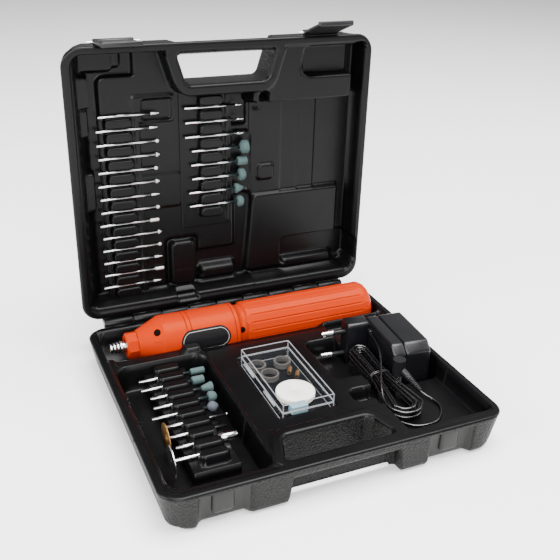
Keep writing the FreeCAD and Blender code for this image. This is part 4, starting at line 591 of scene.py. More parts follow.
# Hinge knuckles and catches: lugs moulded onto the two halves, five on the base and four on the lid.
# One steel pin runs through all nine knuckles. The catches are two bumps on the front wall, which the latch
# flaps snap over.
HINGE_Y, HINGE_Z, HINGE_HALF, KNUCKLES, PLAY = 108.5, 27.0, 103.0, 9, 0.2


def ring_index(rings, count, closed=False):
    """Point numbers of rings in a row; each ring meets its own start, and the last the first if closed."""
    index = np.arange(rings * count).reshape(rings, count)
    if closed:
        index = np.concatenate([index, index[:1]])
    return np.concatenate([index, index[:, :1]], axis=1)


def lathe(profile, start, way, around=48):
    """Turned surface: (distance along, radius) carried round an axis, its ends closed at the axis."""
    profile = np.array(profile, float)
    axis = Vector(way).normalized()
    side = axis.orthogonal().normalized()
    turn = np.linspace(0, 2 * math.pi, around, endpoint=False)
    circle = np.cos(turn)[:, None] * np.array(side) + np.sin(turn)[:, None] * np.array(axis.cross(side))
    points = (np.array(start)[None, None, :] + profile[:, 0, None, None] * np.array(axis)
              + profile[:, 1, None, None] * circle[None])
    return points.reshape(-1, 3), grid_quads(ring_index(len(profile), around))


def rounded_outline(corners, radius, steps=5):
    """Points of a flat outline whose corners are parabolas between the points where they are cut off."""
    corners = [np.array(corner, float) for corner in corners]
    points = []
    for number, here in enumerate(corners):
        before, after = corners[number - 1], corners[(number + 1) % len(corners)]
        start = here + (before - here) / np.linalg.norm(before - here) * radius
        end = here + (after - here) / np.linalg.norm(after - here) * radius
        for share in np.linspace(0, 1, steps):
            points.append((1 - share) ** 2 * start + 2 * share * (1 - share) * here + share ** 2 * end)
    return np.array(points)


def rounded_slab(outline, low, high, radius, steps=4):
    """An outline carried from low to high along the first axis, drawn in on a quarter circle at both ends."""
    centre = (outline.max(0) + outline.min(0)) / 2
    reach = (outline.max(0) - outline.min(0)) / 2
    turns = np.radians(np.linspace(0, 90, steps + 1))
    stations = [(low + radius * (1 - np.cos(turn)), radius * (1 - np.sin(turn))) for turn in turns]
    stations += [(high - radius * (1 - np.cos(turn)), radius * (1 - np.sin(turn))) for turn in turns[::-1]]
    rings = []
    for along, inset in stations:
        ring = centre + (outline - centre) * (reach - inset) / reach
        rings.append(np.column_stack([np.full(len(ring), along), ring]))
    index = ring_index(len(rings), len(outline))
    caps = [index[0, :-1].tolist(), index[-1, :-1][::-1].tolist()]
    return np.concatenate(rings), grid_quads(index).tolist() + caps


def rounded_box(low, high, radius, corner=None):
    """A box with rounded edges: its outline in the last two axes carried along the first."""
    corners = [(low[1], low[2]), (high[1], low[2]), (high[1], high[2]), (low[1], high[2])]
    return rounded_slab(rounded_outline(corners, corner or radius), low[0], high[0], radius)


def root_block(x, y, z):
    """The straight root of a lug between two values of x, of y and of z."""
    corners = np.array([(a, b, c) for a in x for b in y for c in z], float)
    return corners, [(0, 1, 3, 2), (4, 6, 7, 5), (0, 4, 5, 1), (2, 3, 7, 6), (0, 2, 6, 4), (1, 5, 7, 3)]


def assemble(name, parts, paint, body, stands_for=(), weld=0.001):
    """Joins several sets of points and faces into one piece of one finish."""
    points, faces, start = [], [], 0
    for some_points, some_faces in parts:
        points.append(some_points)
        faces += [[int(corner) + start for corner in face] for face in some_faces]
        start += len(some_points)
    return finish_mesh(name, np.concatenate(points), faces, [paint], body, stands_for, weld=weld)


catches = [rounded_box((centre - 7.2, -101.3, 6.5), (centre + 7.2, -95.5, 23.8), 2.6, 3.2)
           for centre in LATCHES.values()]
assemble("catch_bumps", catches, recess_paint, "case")
step = 2 * HINGE_HALF / KNUCKLES
length = step - 2 * PLAY
rolled = [(0, 1.3), (0, 3.2), (0.25, 3.75), (0.8, 4.0), (length - 0.8, 4.0), (length - 0.25, 3.75),
          (length, 3.2), (length, 1.3), (0, 1.3)]
closing_strip = root_block((-HINGE_HALF, HINGE_HALF), (112.9, 114.0), (26.9, 31.9))
for side, first, root_y, root_z, extra in (("case", 0, (101.0, HINGE_Y), (23.2, HINGE_Z), []),
                                           ("lid", 1, (109.9, 112.4), (HINGE_Z, 31.9), [closing_strip])):
    lugs = []
    for number in range(first, KNUCKLES, 2):
        start = -HINGE_HALF + step * number + PLAY
        lugs += [lathe(rolled, (start, HINGE_Y, HINGE_Z), (1, 0, 0), 28),
                 root_block((start, start + length), root_y, root_z)]
    assemble(side + "_knuckles", lugs + extra, inner_paint, side, weld=0.01)

# Latches: two black moulded flaps on the lid's front edge that swing down and snap over the catches.
# Each is a slab with a lip at its free end, a rib, and a rolled barrel round a steel pin.
LATCH_PIN, FLAP_HALF = (114.7, 238.3), 14.0


def dress(names, paint):
    """Gives CAD nodes a finish."""
    for name in names:
        NODES[name].data.materials.clear()
        NODES[name].data.materials.append(paint.material)


def turned_about(parts, axis, turn, place):
    """Turns points about the x or z axis by degrees and moves them to their place."""
    matrix = np.array(Matrix.Rotation(math.radians(turn), 3, axis))
    return [(points @ matrix.T + np.array(place), faces) for points, faces in parts]


latch_paint = plastic("latch_plastic", (0.0050, 0.0050, 0.0056), 0.36, 1300.0, 0.00004, 0.3, 0.3)
for side, opening in (("left", 4.0), ("right", 20.0)):
    slab = rounded_box((-FLAP_HALF, -27.6, -1.2), (FLAP_HALF, -1.0, 1.2), 0.9)
    lip = rounded_box((-FLAP_HALF, -28.0, -1.2), (FLAP_HALF, -25.4, 2.4), 1.0)
    rib = rounded_box((-11.0, -19.0, 0.8), (11.0, -8.0, 1.9), 0.5)
    barrel = lathe([(0, 1.2), (0, 1.9), (0.4, 2.3), (27.6, 2.3), (28.0, 1.9), (28.0, 1.2), (0, 1.2)],
                   (-FLAP_HALF, 0, 0), (1, 0, 0), 28)
    assemble("latch_flap_" + side,
             turned_about([slab, lip, rib, barrel], "X", -opening, (LATCHES[side], *LATCH_PIN)),
             latch_paint, side + "_latch", ["latch_" + side])

# Tool body: orange plastic mouldings, a smooth front housing with a nose cap and a grip sleeve.
# The grip is slipped on from behind; it has eighteen flats, a fine groove between each two, and a domed tail.
TOOL_START, FLAT_RADIUS, NECK_RADIUS = -105.5, 18.6, 16.5
FLAT, GROOVE_DEPTH, GROOVE_WIDTH, SHOULDER = math.radians(20.0), 1.0, 0.42, 0.8
LIP_START, FLATS_START, FLATS_END, TAIL_START, TAIL_LENGTH = 103.45, 106.5, 206.0, 207.0, 8.0
orange_paint = Paint("orange_moulding", (0.31, 0.018, 0.0), 0.36, Specular_IOR_Level=0.2,
                     Specular_Tint=(1.0, 0.28, 0.08))
shade = orange_paint.noise(40.0, 2.0)
orange_paint.feed("Base Color", orange_paint.mix(shade, (0.29, 0.015, 0.0), (0.33, 0.018, 0.0)))
orange_paint.feed("Roughness", 0.27 + 0.12 * orange_paint.noise(120.0, 3.0))
orange_paint.relief(orange_paint.noise(1400.0, 2.0), 0.00002)
dress(["front_housing", "nose_cap"], orange_paint)


def grip_radius(along, turn):
    """Radius of the grip at a distance along the tool and a turn round it.

    A flat lies at its middle's distance over the cosine of the turn from its middle. A groove is a bell curve
    of the distance from the next flat. The tail draws in by the root of 1 less the square of the share along
    it."""
    off = np.mod(turn, FLAT) - FLAT / 2
    radius = FLAT_RADIUS * math.cos(FLAT / 2) / np.cos(off)
    groove = np.exp(-(((FLAT / 2 - np.abs(off)) * FLAT_RADIUS) / GROOVE_WIDTH) ** 2)
    groove = groove * ease((along - FLATS_START) / 2.5) * ease((FLATS_END - along) / 3.0)
    radius = radius - GROOVE_DEPTH * groove
    dome = np.clip((along - TAIL_START) / TAIL_LENGTH, 0, 1)
    radius = radius * (0.62 + 0.38 * np.sqrt(np.maximum(1 - dome ** 2, 0)))
    lip = ease((along - LIP_START) / 0.9)
    shoulder = SHOULDER * ease((along - 104.3) / SHOULDER)
    return NECK_RADIUS + (radius - SHOULDER + shoulder - NECK_RADIUS) * lip


grip_along = np.concatenate([[97.9, 103.3], np.linspace(LIP_START, 105.2, 9), np.linspace(FLATS_START, 109, 4),
                             np.linspace(112, 203, 12), [204.5, FLATS_END],
                             TAIL_START + TAIL_LENGTH * np.sin(np.linspace(0, math.pi / 2, 10))])
grid_along, grid_turn = np.meshgrid(grip_along, np.radians(np.arange(0, 360, 1.0)), indexing="ij")
radius = grip_radius(grid_along, grid_turn)
grip = np.stack([TOOL_START + grid_along, TOOL_Y + radius * np.sin(grid_turn),
                 TOOL_Z + radius * np.cos(grid_turn)], -1).reshape(-1, 3)
ends = [(TOOL_START + along, TOOL_Y, TOOL_Z) for along in (grip_along[-1], grip_along[0])]
index = ring_index(*grid_along.shape)
fans = [(index[-1, k], index[-1, k + 1], len(grip)) for k in range(grid_along.shape[1])]
fans += [(index[0, k + 1], index[0, k], len(grip) + 1) for k in range(grid_along.shape[1])]
finish_mesh("grip_shell", np.concatenate([grip, ends]), grid_quads(index)[:, ::-1].tolist() + fans,
            [orange_paint], "tool", ["grip_sleeve", "tail_cap"], weld=0.001)

# Collet, chuck and turned parts: nickel plated steel, plain steel and brass, all turned on a lathe.
# The nut is screwed on the spindle. Its four bright rings widen towards the tool, over a dark core that is
# painted shade: the shade in the grooves between the rings.
NUT = (-105.5, TOOL_Y, TOOL_Z)


def satin(name, colour, low, swing, scale, detail=2.0, metallic=0.0, **fixed):
    """A finish whose roughness wanders between low and low plus swing."""
    paint = Paint(name, colour, low, metallic, **fixed)
    paint.feed("Roughness", low + swing * paint.noise(scale, detail))
    return paint


chrome_paint = satin("bright_plating", (0.86, 0.86, 0.87), 0.12, 0.16, 900.0, 3.0, 1.0)
chrome_paint.relief(chrome_paint.noise(2500.0), 0.00001)
dress(["chuck_body", "plug_pins", "power_plug_barrel"], chrome_paint)
rings = [lathe([(start, 2.7), (start, wide - 0.4), (start + 0.3, wide), (end - 0.3, wide), (end, wide - 0.4),
                (end, 2.7), (start, 2.7)], NUT, (1, 0, 0), 48)
         for start, end, wide in ((0.0, 1.6, 3.7), (2.5, 4.1, 4.1), (5.0, 6.5, 4.5), (7.4, 9.0, 4.95))]
assemble("nut_rings", rings, chrome_paint, "spindle", ["collet_nut"])
# The core's near-black plastic is painted shade for the grooves of the steel nut.
groove_shade_paint = plastic("nut_groove_shade", (0.006, 0.006, 0.007), 0.4, 1200.0, 0.00002)
core = lathe([(0.5, 2.65), (0.5, 3.0), (3.9, 3.3), (4.0, 4.0), (8.5, 4.0), (8.5, 2.65), (0.5, 2.65)], NUT,
             (1, 0, 0))
assemble("nut_shade_core", [core], groove_shade_paint, "spindle")
dress(["spindle_shaft", "shaft_coupling", "motor_shaft", "armature", "hinge_pin", "latch_pins",
       "spindle_bearing", "motor_can", "motor_end_bell", "brush_springs", "transformer_core"],
      satin("turned_steel", (0.6, 0.6, 0.61), 0.24, 0.2, 1200.0, 3.0, 1.0))
dress(["collet", "spare_collets", "motor_bushes", "commutator", "transformer_coil"],
      satin("turned_brass", (0.78, 0.5, 0.19), 0.2, 0.2, 900.0, 3.0, 1.0))

# Label, switch, screw holes and the parts inside the tool: a bare black film with a pale border line is
# stuck on the housing, and the switch, socket and mounts are dark plastic. Two screws sit deep in round holes
# of the front housing; over each hole lies a nearly black disc, a touch proud of the skin, as painted shade.
LABEL_X, LABEL_TILT = -36.0, 0.19
LABEL_RUN, LABEL_TALL = 19.5 - 1.5, 8.5 - 1.5
LINE_HALF, LINE_LOW, LINE_HIGH = 0.22, 19.26, 19.34
dress(["label_plate"], satin("label_film", (0.004, 0.004, 0.0045), 0.18, 0.12, 500.0, Specular_IOR_Level=0.3))
dark_paint = plastic("dark_moulding", (0.006, 0.006, 0.0065), 0.4, 1400.0, 0.00003, 0.3)
dress(["switch_slider", "switch_body", "motor_mounts", "power_socket", "housing_screw", "pin_sleeves"],
      dark_paint)
dress(["motor_magnets", "motor_brushes"], plastic("ferrite", (0.05, 0.05, 0.055), 0.6, 2000.0, 0.00002))
# Each well is a nearly black disc a little proud of the housing: painted shade of a screw hole.
wells = []
for place, radius, lean in (((-71.78, 67.3, 35.39), 2.6, -0.42), ((-5.9, 62.11, 27.3), 2.3, 0.0)):
    outward = np.array([0.0, place[1] - TOOL_Y, place[2] - TOOL_Z])
    outward = outward / np.linalg.norm(outward) + np.array([lean, 0, 0])
    outward /= np.linalg.norm(outward)
    bottom = np.array(place) - outward * 1.15
    wells.append(lathe([(0, 0), (0, radius), (1.3, radius), (1.3, 0)], bottom, outward, 32))
well_shade_paint = satin("well_shadow", (0.0012, 0.0011, 0.0010), 0.7, 0.2, 600.0, Specular_IOR_Level=0.05)
assemble("screw_well_shades", wells, well_shade_paint, "tool")


def on_cone(points):
    """Places (along, degrees round the axis, height over the skin) on the front housing's cone."""
    radius = CONE_RADIUS + CONE_SLOPE * (points[:, 0] - CONE_X) + points[:, 2]
    angle = np.radians(points[:, 1])
    return np.column_stack([points[:, 0], TOOL_Y - radius * np.cos(angle), TOOL_Z + radius * np.sin(angle)])


relief_block("housing_patch", np.linspace(-74.8, -69.6, 12), np.linspace(24.5, 42.5, 14),
             lambda x, y: np.full(x.shape, 0.05), -0.5, on_cone, "tool", orange_paint)
dress(["circuit_board"], plastic("board", (0.03, 0.17, 0.07), 0.45, 900.0, 0.00001))
turn = np.linspace(0, 2 * math.pi, 160, endpoint=False)
straight = (LABEL_RUN - LABEL_TALL) * np.sign(np.cos(turn)) * ease(np.abs(np.cos(turn)) * 6)
border = []
for widen, out in ((-LINE_HALF, LINE_LOW), (-LINE_HALF, LINE_HIGH),
                   (LINE_HALF, LINE_HIGH), (LINE_HALF, LINE_LOW)):
    along = straight + (LABEL_TALL + widen) * np.cos(turn) + LABEL_X
    rise = (LABEL_TALL + widen) * np.sin(turn) + TOOL_RADIUS * LABEL_TILT
    angle = np.arcsin(np.clip(rise / TOOL_RADIUS, -1, 1))
    border.append(np.column_stack([along, TOOL_Y - out * np.cos(angle), TOOL_Z + out * np.sin(angle)]))
assemble("label_line", [(np.concatenate(border), grid_quads(ring_index(4, len(turn), True)))],
         satin("label_line", (0.22, 0.22, 0.21), 0.3, 0.1, 700.0), "tool", weld=0.0001)

# Bits in the base: 2.35 mm steel shanks pressed into the rack, four with a bonded grinding stone, one with a
# fine stone bud and one drawn out to a steel point. The stones are cast round their shanks.
BASE_BIT_Z, SHANK_RADIUS = 19.0, 1.175
HEAD_SHAPES = {
    "cylinder": ((0, 0.9), (0.06, 1), (0.94, 1), (1, 0.92), (1, 0)),
    "cone": ((0, 0.9), (0.08, 1), (0.28, 1), (0.6, 0.62), (0.92, 0.2), (1, 0)),
    "inverted": ((0, 0.45), (0.25, 0.62), (0.85, 0.98), (0.92, 1), (1, 0.93), (1, 0)),
    "bud": ((0, 0.35), (0.15, 0.7), (0.3, 0.93), (0.45, 1), (0.6, 0.93), (0.8, 0.6), (0.93, 0.3), (1, 0)),
    "dome": ((0, 0.75), (0.12, 0.95), (0.2, 1), (0.4, 1), (0.6, 0.93), (0.8, 0.75), (0.93, 0.45), (1, 0)),
    "flared": ((0, 0.45), (0.15, 0.7), (0.3, 0.95), (0.38, 1), (0.95, 1), (1, 0.94), (1, 0)),
    "needle": ((0, 0.95), (0.5, 0.75), (0.9, 0.3), (1, 0)),
    "ball": ((0, 0.35), (0.2, 0.8), (0.4, 1), (0.6, 1), (0.85, 0.75), (0.96, 0.4), (1, 0)),
}


def gritty(name, roughness, scale, detail, coarse, dark, light, depth, metallic=0.0, **fixed):
    """A finish of grains or fibres: one noise both mixes the two colours and lifts the surface."""
    paint = Paint(name, light, roughness, metallic, **fixed)
    grit = paint.noise(scale, detail, coarse)
    paint.feed("Base Color", paint.mix(grit, dark, light))
    return paint.relief(grit, depth)


shank_paint = satin("bit_steel", (0.40, 0.40, 0.41), 0.09, 0.12, 800.0, 3.0, 1.0)
stone_paint = gritty("bonded_stone", 0.85, 2600.0, 3.0, 0.7,
                     (0.016, 0.036, 0.037), (0.045, 0.078, 0.076), 0.00012)
fine_paint = gritty("fine_stone", 0.8, 2800.0, 3.0, 0.7, (0.022, 0.026, 0.038), (0.052, 0.060, 0.076), 0.0001)


def shank(tail, end, y, z):
    """A bit's shank, a rod with a chamfered tail; tail and end count from the case's left edge."""
    profile = [(0, 0), (0, 0.85), (0.35, SHANK_RADIUS), (end - tail, SHANK_RADIUS), (end - tail, 0)]
    return lathe(profile, (-HALF_WIDTH + tail, y, z), (1, 0, 0), 20)


def head(kind, start, end, radius, y, z):
    """A bit's head: its shape's shares of length and of radius, turned round the shank's axis."""
    outline = [(0, 0)] + [((end - start) * share, radius * width) for share, width in HEAD_SHAPES[kind]]
    return lathe(outline, (-HALF_WIDTH + start, y, z), (1, 0, 0), 32)


def set_bits(rows, places, overlap):
    """Shanks and heads; a row is kind, tail, and the head's start, end and radius, and a place is y and z."""
    shanks = [shank(row[1], row[2] + overlap, *place) for row, place in zip(rows, places)]
    heads = [head(row[0], *row[2:], *place) for row, place in zip(rows, places)]
    return shanks, heads


base_places = [(FIRST_ROW - ROW_PITCH * number, BASE_BIT_Z) for number in range(9)]
BASE_STONES = (("cylinder", 22.0, 60.0, 70.2, 2.4), ("cylinder", 20.4, 57.5, 66.0, 3.0),
               ("inverted", 24.0, 60.6, 68.5, 3.75), ("dome", 23.0, 61.5, 68.0, 3.75))
shanks, heads = set_bits(BASE_STONES, base_places, 0.4)
assemble("base_stone_shanks", shanks, shank_paint, "case")
assemble("base_stone_heads", heads, stone_paint, "case", ["stone_points_base"])
assemble("base_bud_shank", [shank(18.5, 57.6, *base_places[4]), shank(24.6, 66.0, *base_places[5]),
                            head("needle", 66.0, 68.0, 1.1, *base_places[5])],
         shank_paint, "case")
assemble("base_bud_head", [head("bud", 57.2, 65.0, 3.75, *base_places[4])], fine_paint, "case",
         ["engraving_points_base"])

# Brushes and discs: a bronze wire wheel and a thin steel disc, each clamped on its own mandrel, and a slit
# drum mandrel for the sanding bands. Their shanks lie in the last three grooves of the base's rack.


def wheel(start, end, radius, place, dish):
    """A thin disc, dished by so many millimetres at its edge, with a boss on each side."""
    profile = [(0, 0), (0, 2.2), (0.5, 2.4), (0.6, radius * 0.55), (0.5 - dish, radius), (1.0 - dish, radius),
               (1.3, radius * 0.55), (1.4, 2.4), (end - start, 2.2), (end - start, 0)]
    return lathe(profile, (-HALF_WIDTH + start, *place), (1, 0, 0), 96)


bristle_paint = gritty("bronze_bristles", 0.4, 1500.0, 3.0, 0.8,
                       (0.07, 0.034, 0.013), (0.52, 0.29, 0.10), 0.0004, 0.9)
assemble("wire_wheel_disc", [wheel(21.4, 23.8, 10.4, base_places[6], 0.4)], bristle_paint, "case",
         ["wire_wheel_bit"])
assemble("wire_wheel_shank", [shank(23.0, 62.0, *base_places[6])], shank_paint, "case")
assemble("steel_disc", [wheel(17.5, 19.1, 10.4, base_places[8], 0.0), shank(18.4, 56.4, *base_places[8])],
         chrome_paint, "case", ["steel_wheel_bit"])
drum = lathe([(0, 0), (0, 2.4), (0.5, 2.9), (12.4, 2.9), (13.2, 2.3), (13.2, 0)], (-65.7, *base_places[7]),
             (1, 0, 0), 40)
assemble("drum_mandrel_shank", [drum, shank(24.5, 52.6, *base_places[7])], shank_paint, "case",
         ["drum_mandrel"])

# Bits in the lid: fourteen diamond points in the long rack, three steel points and five grinding stones in
# the short one. The diamond heads are steel, plated with grit. The shanks are pressed into the racks.
LEFT_KINDS = ("needle", "needle", "ball", "cone", "ball", "cone", "needle", "ball", "cylinder", "cone", "ball",
              "needle", "cylinder", "needle")
LEFT_TAILS = (24.8, 22.7, 22.5, 23.3, 22.5, 21.7, 22.5, 22.4, 20.9, 22.4, 21.7, 21.7, 21.7, 20.2)
LEFT_TIPS = (70.4, 68.9, 69.3, 69.6, 67.6, 68.7, 68.3, 67.8, 66.6, 68.6, 68.1, 68.5, 68.9, 66.9)
LEFT_HEADS = {"needle": (7.0, 1.2), "ball": (3.2, 1.5), "cone": (3.2, 1.7), "cylinder": (7.0, 1.4)}
RIGHT_BITS = (("needle", 88.5, 128.0, 134.2, 1.15), ("needle", 89.0, 129.0, 135.9, 1.15),
              ("cone", 88.6, 130.0, 135.9, 1.3), ("flared", 93.5, 132.5, 138.8, 5.2),
              ("cylinder", 92.8, 130.6, 138.0, 3.4), ("dome", 93.3, 131.6, 137.8, 5.0),
              ("cone", 90.6, 128.4, 136.2, 3.9), ("dome", 91.1, 130.2, 136.2, 4.6))
diamond_paint = gritty("diamond_grit", 0.45, 5200.0, 2.0, 0.8,
                       (0.3, 0.29, 0.28), (0.85, 0.83, 0.8), 0.00015, 0.8)
left_bits = [(kind, tail, tip - LEFT_HEADS[kind][0], tip, LEFT_HEADS[kind][1])
             for kind, tail, tip in zip(LEFT_KINDS, LEFT_TAILS, LEFT_TIPS)]
left_places = [(LID_Y + LEFT_DEPTH, LID_Z + LEFT_FIRST - LEFT_PITCH * number) for number in range(14)]
shanks, heads = set_bits(left_bits, left_places, 0.2)
assemble("diamond_shanks", shanks, shank_paint, "lid")
assemble("diamond_heads", heads, diamond_paint, "lid", ["diamond_points_lid"])
right_places = [(LID_Y + RIGHT_DEPTH, LID_Z + RIGHT_FIRST - RIGHT_PITCH * number) for number in range(8)]
shanks, heads = set_bits(RIGHT_BITS, right_places, 0.3)
steel_points = [part for pair in zip(shanks[:3], heads[:3]) for part in pair]
assemble("lid_steel_points", steel_points, shank_paint, "lid", ["engraving_points_lid"])
assemble("lid_stone_shanks", shanks[3:], shank_paint, "lid")
assemble("lid_stone_heads", heads[3:], stone_paint, "lid", ["stone_points_lid"])

# Wall adapter: a black moulding in two halves, finely grained, with rounded edges and a plug block for round
# pins. It stands in its well, turned a little, with the pins to the left.
ADAPTER, ADAPTER_TURN = (93.2, 1.0, 4.3), -4.0
LENGTH, HEIGHT, BEVEL = 28.0, 37.0, 6.0
PLUG_Y, PLUG_HALF = 21.2, 6.85
adapter_paint = plastic("adapter_moulding", (0.0022, 0.0022, 0.0030), 0.32, 1800.0, 0.00005, 0.3, 0.35)
side_view = rounded_outline([(-LENGTH, 0), (LENGTH, 0), (LENGTH, HEIGHT - BEVEL), (LENGTH - BEVEL, HEIGHT),
                             (BEVEL - LENGTH, HEIGHT), (-LENGTH, HEIGHT - BEVEL)], 1.6)
for name, node, parts in (
        ("adapter_front", "adapter_cover", [rounded_slab(side_view, -15.0, -5.1, 1.4),
                                            rounded_box((-17.6, 8.0, 28.0), (-14.0, 12.4, 32.4), 0.6)]),
        ("adapter_rear", "adapter_body", [rounded_slab(side_view, -4.9, 15.0, 1.6)]),
        ("plug_stud", "plug_block", [rounded_box((-32.05, PLUG_Y - PLUG_HALF, 0.85),
                                                 (-14.6, PLUG_Y + PLUG_HALF, 36.15), 1.0, 3.0)])):
    assemble(name, turned_about(parts, "Z", ADAPTER_TURN, ADAPTER), adapter_paint, "case", [node])

# Lead: a limp twin cord in vinyl from the adapter, wound to a hank of eight turns that a tie holds at its
# waist, then on to the ribbed sleeve of the power plug. The hank lies on the floor of the lead's bay.
CORD = 1.6
PITCH, LAYERS, LAYER_TURNS = 2.06, 4, 2
HANK_REAR, HANK_TIE, HANK_FRONT = (66.5, 13.2), (66.0, -25.5), (65.2, -73.0)
FRONT_BOW, FRONT_GROWTH, FRONT_END = 5.2, 4.2, 13.6
REAR_BOW, REAR_GROWTH, REAR_END = 2.3, 2.6, 7.5
TILT = 0.06
GLAND = (77.598, 10.110, 34.5)
RELIEF_START = Vector((86.4, -47.9, 17.4))
RELIEF_WAY = Vector((-7.0, 11.9, 9.5)).normalized()


def hank_rank(progress):
    """How far out a turn lies in its layer: the turns count down to 0 and up again from layer to layer."""
    local = progress % (2.0 * LAYER_TURNS)
    return LAYER_TURNS - local if local <= LAYER_TURNS else local - LAYER_TURNS


def hank_layer(progress):
    """The layer of a turn, counted from the bottom, with an even slope where one layer leads to the next."""
    whole = min(progress, LAYERS * LAYER_TURNS - 0.001) / LAYER_TURNS
    nearest = round(whole)
    off = (whole - nearest) * LAYER_TURNS
    if 0 < nearest < LAYERS and abs(off) < 0.3:
        return LAYERS - 1 - (nearest - 0.5 + off / 0.6)
    return LAYERS - 1 - math.floor(whole)


# The points of one turn: sixths of a turn, the hank's part, side of the middle, and share out along the bow.
PLACES = ((0, "tie", -1, 0), (1, "front", -1, 0), (1.2, "front", -1, 0.414), (1.4, "front", -0.414, 1),
          (1.6, "front", 0.414, 1), (1.8, "front", 1, 0.414), (2, "front", 1, 0), (3, "tie", 1, 0),
          (4, "rear", 1, 0), (4.2, "rear", 1, 0.414), (4.4, "rear", 0.414, 1), (4.6, "rear", -0.414, 1),
          (4.8, "rear", -1, 0.414), (5, "rear", -1, 0))
route = [GLAND, (76.571, 1.160, 33.0), (73.6, -10.5, 32.4), (66.5, -25.5, 28.4), (57.0, -42.0, 25.2),
         (53.0, -52.4, 21.7)]
for turn in range(LAYERS * LAYER_TURNS + 1):
    for place, end, side, out in PLACES:
        progress = turn + place / 6.0
        if not 1 / 6 - 1e-6 <= progress <= LAYERS * LAYER_TURNS + 1e-6:
            continue
        rank = hank_rank(progress)
        if end == "tie":
            x, y = HANK_TIE[0] + side * PITCH * (0.75 + rank), HANK_TIE[1]
        elif end == "front":
            half = FRONT_BOW + FRONT_GROWTH * rank
            x, y = HANK_FRONT[0] + side * half, HANK_FRONT[1] + FRONT_END - out * half
        else:
            half = REAR_BOW + REAR_GROWTH * rank
            x, y = HANK_REAR[0] + side * half, HANK_REAR[1] - REAR_END + out * half
        z = LEAD_FLOOR + 0.3 + CORD / 2 + hank_layer(progress) * PITCH + TILT * (y - HANK_FRONT[1])
        route.append((x, y, z))
route += [(route[-1][0], route[-1][1] - 7.5, route[-1][2] - 0.4), (55.5, -44.0, 14.6), (51.6, -62.0, 14.4),
          (61.0, -80.0, 14.3), (80.0, -81.0, 14.3), (92.2, -68.0, 14.3), (92.0, -57.0, 14.4),
          tuple(RELIEF_START - RELIEF_WAY * 4), tuple(RELIEF_START)]
lead_curve = bpy.data.curves.new("lead", "CURVE")
lead_curve.dimensions = "3D"
spline = lead_curve.splines.new("NURBS")
spline.points.add(len(route) - 1)
spline.points.foreach_set("co", np.column_stack([np.array(route) * MM, np.ones(len(route))]).ravel())
spline.order_u = 3
spline.use_endpoint_u = True
spline.resolution_u = 6
lead_curve.bevel_depth = CORD / 2 * MM
lead_curve.bevel_resolution = 4
lead_curve.use_fill_caps = True
cord_paint = satin("cord_vinyl", (0.003, 0.003, 0.0035), 0.14, 0.12, 400.0, Specular_IOR_Level=0.8)
cord_paint.relief(cord_paint.noise(1500.0), 0.00002)
lead_curve.materials.append(cord_paint.material)
lead = set_down("lead", lead_curve)
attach(lead, "case")
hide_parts("lead_hank", "lead_adapter_end", "lead_plug_end")

# Plug end and tie: a ribbed sleeve and a right-angled body of vinyl, moulded onto the lead round a turned
# barrel. The tie is a thin wire in vinyl, passed twice round the waist of the hank.
RIBS, TIE_RADIUS, TIE_SHIFT = 9, 0.55, 0.75
plug_paint = plastic("plug_vinyl", (0.0025, 0.0025, 0.003), 0.4, 1500.0, 0.00003, 0.3, 0.3)
ribs = [(0, 0), (0, 1.45)]
for number in range(RIBS):
    begin = 0.5 + number * 12.0 / RIBS
    wide = 1.95 + 0.9 * number / RIBS
    ribs += [(begin + on, wide - less)
             for on, less in ((0, 0.55), (0.18, 0.1), (0.45, 0), (0.75, 0.1), (0.93, 0.55))]
ribs += [(13.0, 2.6), (14.0, 2.8), (14.0, 0)]
sleeve = assemble("plug_sleeve", [lathe(ribs, RELIEF_START, RELIEF_WAY, 32)], plug_paint, "case",
                  ["plug_strain_relief"])
dress(["power_plug_body"], plug_paint)
low, high = (np.array(corner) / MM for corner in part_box("lead_tie"))
centre, half = (low + high) / 2, (high - low) / 2 - 0.5
turn = np.linspace(0, 2 * math.pi, 64, endpoint=False)
small = np.linspace(0, 2 * math.pi, 10, endpoint=False)
loops = []
for shift in (-TIE_SHIFT, TIE_SHIFT):
    path = np.stack([centre[0] + half[0] * np.sign(np.cos(turn)) * np.abs(np.cos(turn)) ** 0.6,
                     centre[1] + shift + 0.3 * np.sin(3 * turn),
                     centre[2] + half[2] * np.sign(np.sin(turn)) * np.abs(np.sin(turn)) ** 0.6], -1)
    outward = (path - centre) * (1, 0, 1)
    outward /= np.linalg.norm(outward, axis=1)[:, None]
    sides = (outward[:, None] * np.cos(small)[None, :, None]
             + np.array([0, 1.0, 0]) * np.sin(small)[None, :, None])
    band = path[:, None] + TIE_RADIUS * sides
    loops.append((band.reshape(-1, 3), grid_quads(ring_index(len(turn), len(small), True))))
tie = assemble("hank_tie", loops, satin("tie_vinyl", (0.005, 0.005, 0.0055), 0.3, 0.1, 600.0), "case",
               ["lead_tie"], 0.0001)

# Clear box: a tray and a cover of clear polystyrene that turn on two short hinges. Pale strips along its cut
# edges and upright corners are painted highlights for the light those edges catch; the hinges get the same
# pale paint. It holds a pressed felt wheel, sanding bands, brass collets and a stick of dressing stone.
BOX = (-20.2, 18.2, -47.5, 29.5)
BOX_LOW, BOX_SPLIT, BOX_TOP = 17.3, 24.8, 31.3
clear_paint = satin("clear_styrene", (0.04, 0.045, 0.05), 0.05, 0.08, 90.0, Alpha=0.035,
                    Specular_IOR_Level=0.5)
# The edges' pale, half opaque paint is a painted highlight: the light that the cut edges of clear plastic
# catch.
glint_edge_paint = satin("clear_edge_glint", (0.36, 0.38, 0.40), 0.15, 0.1, 200.0, Alpha=0.36)


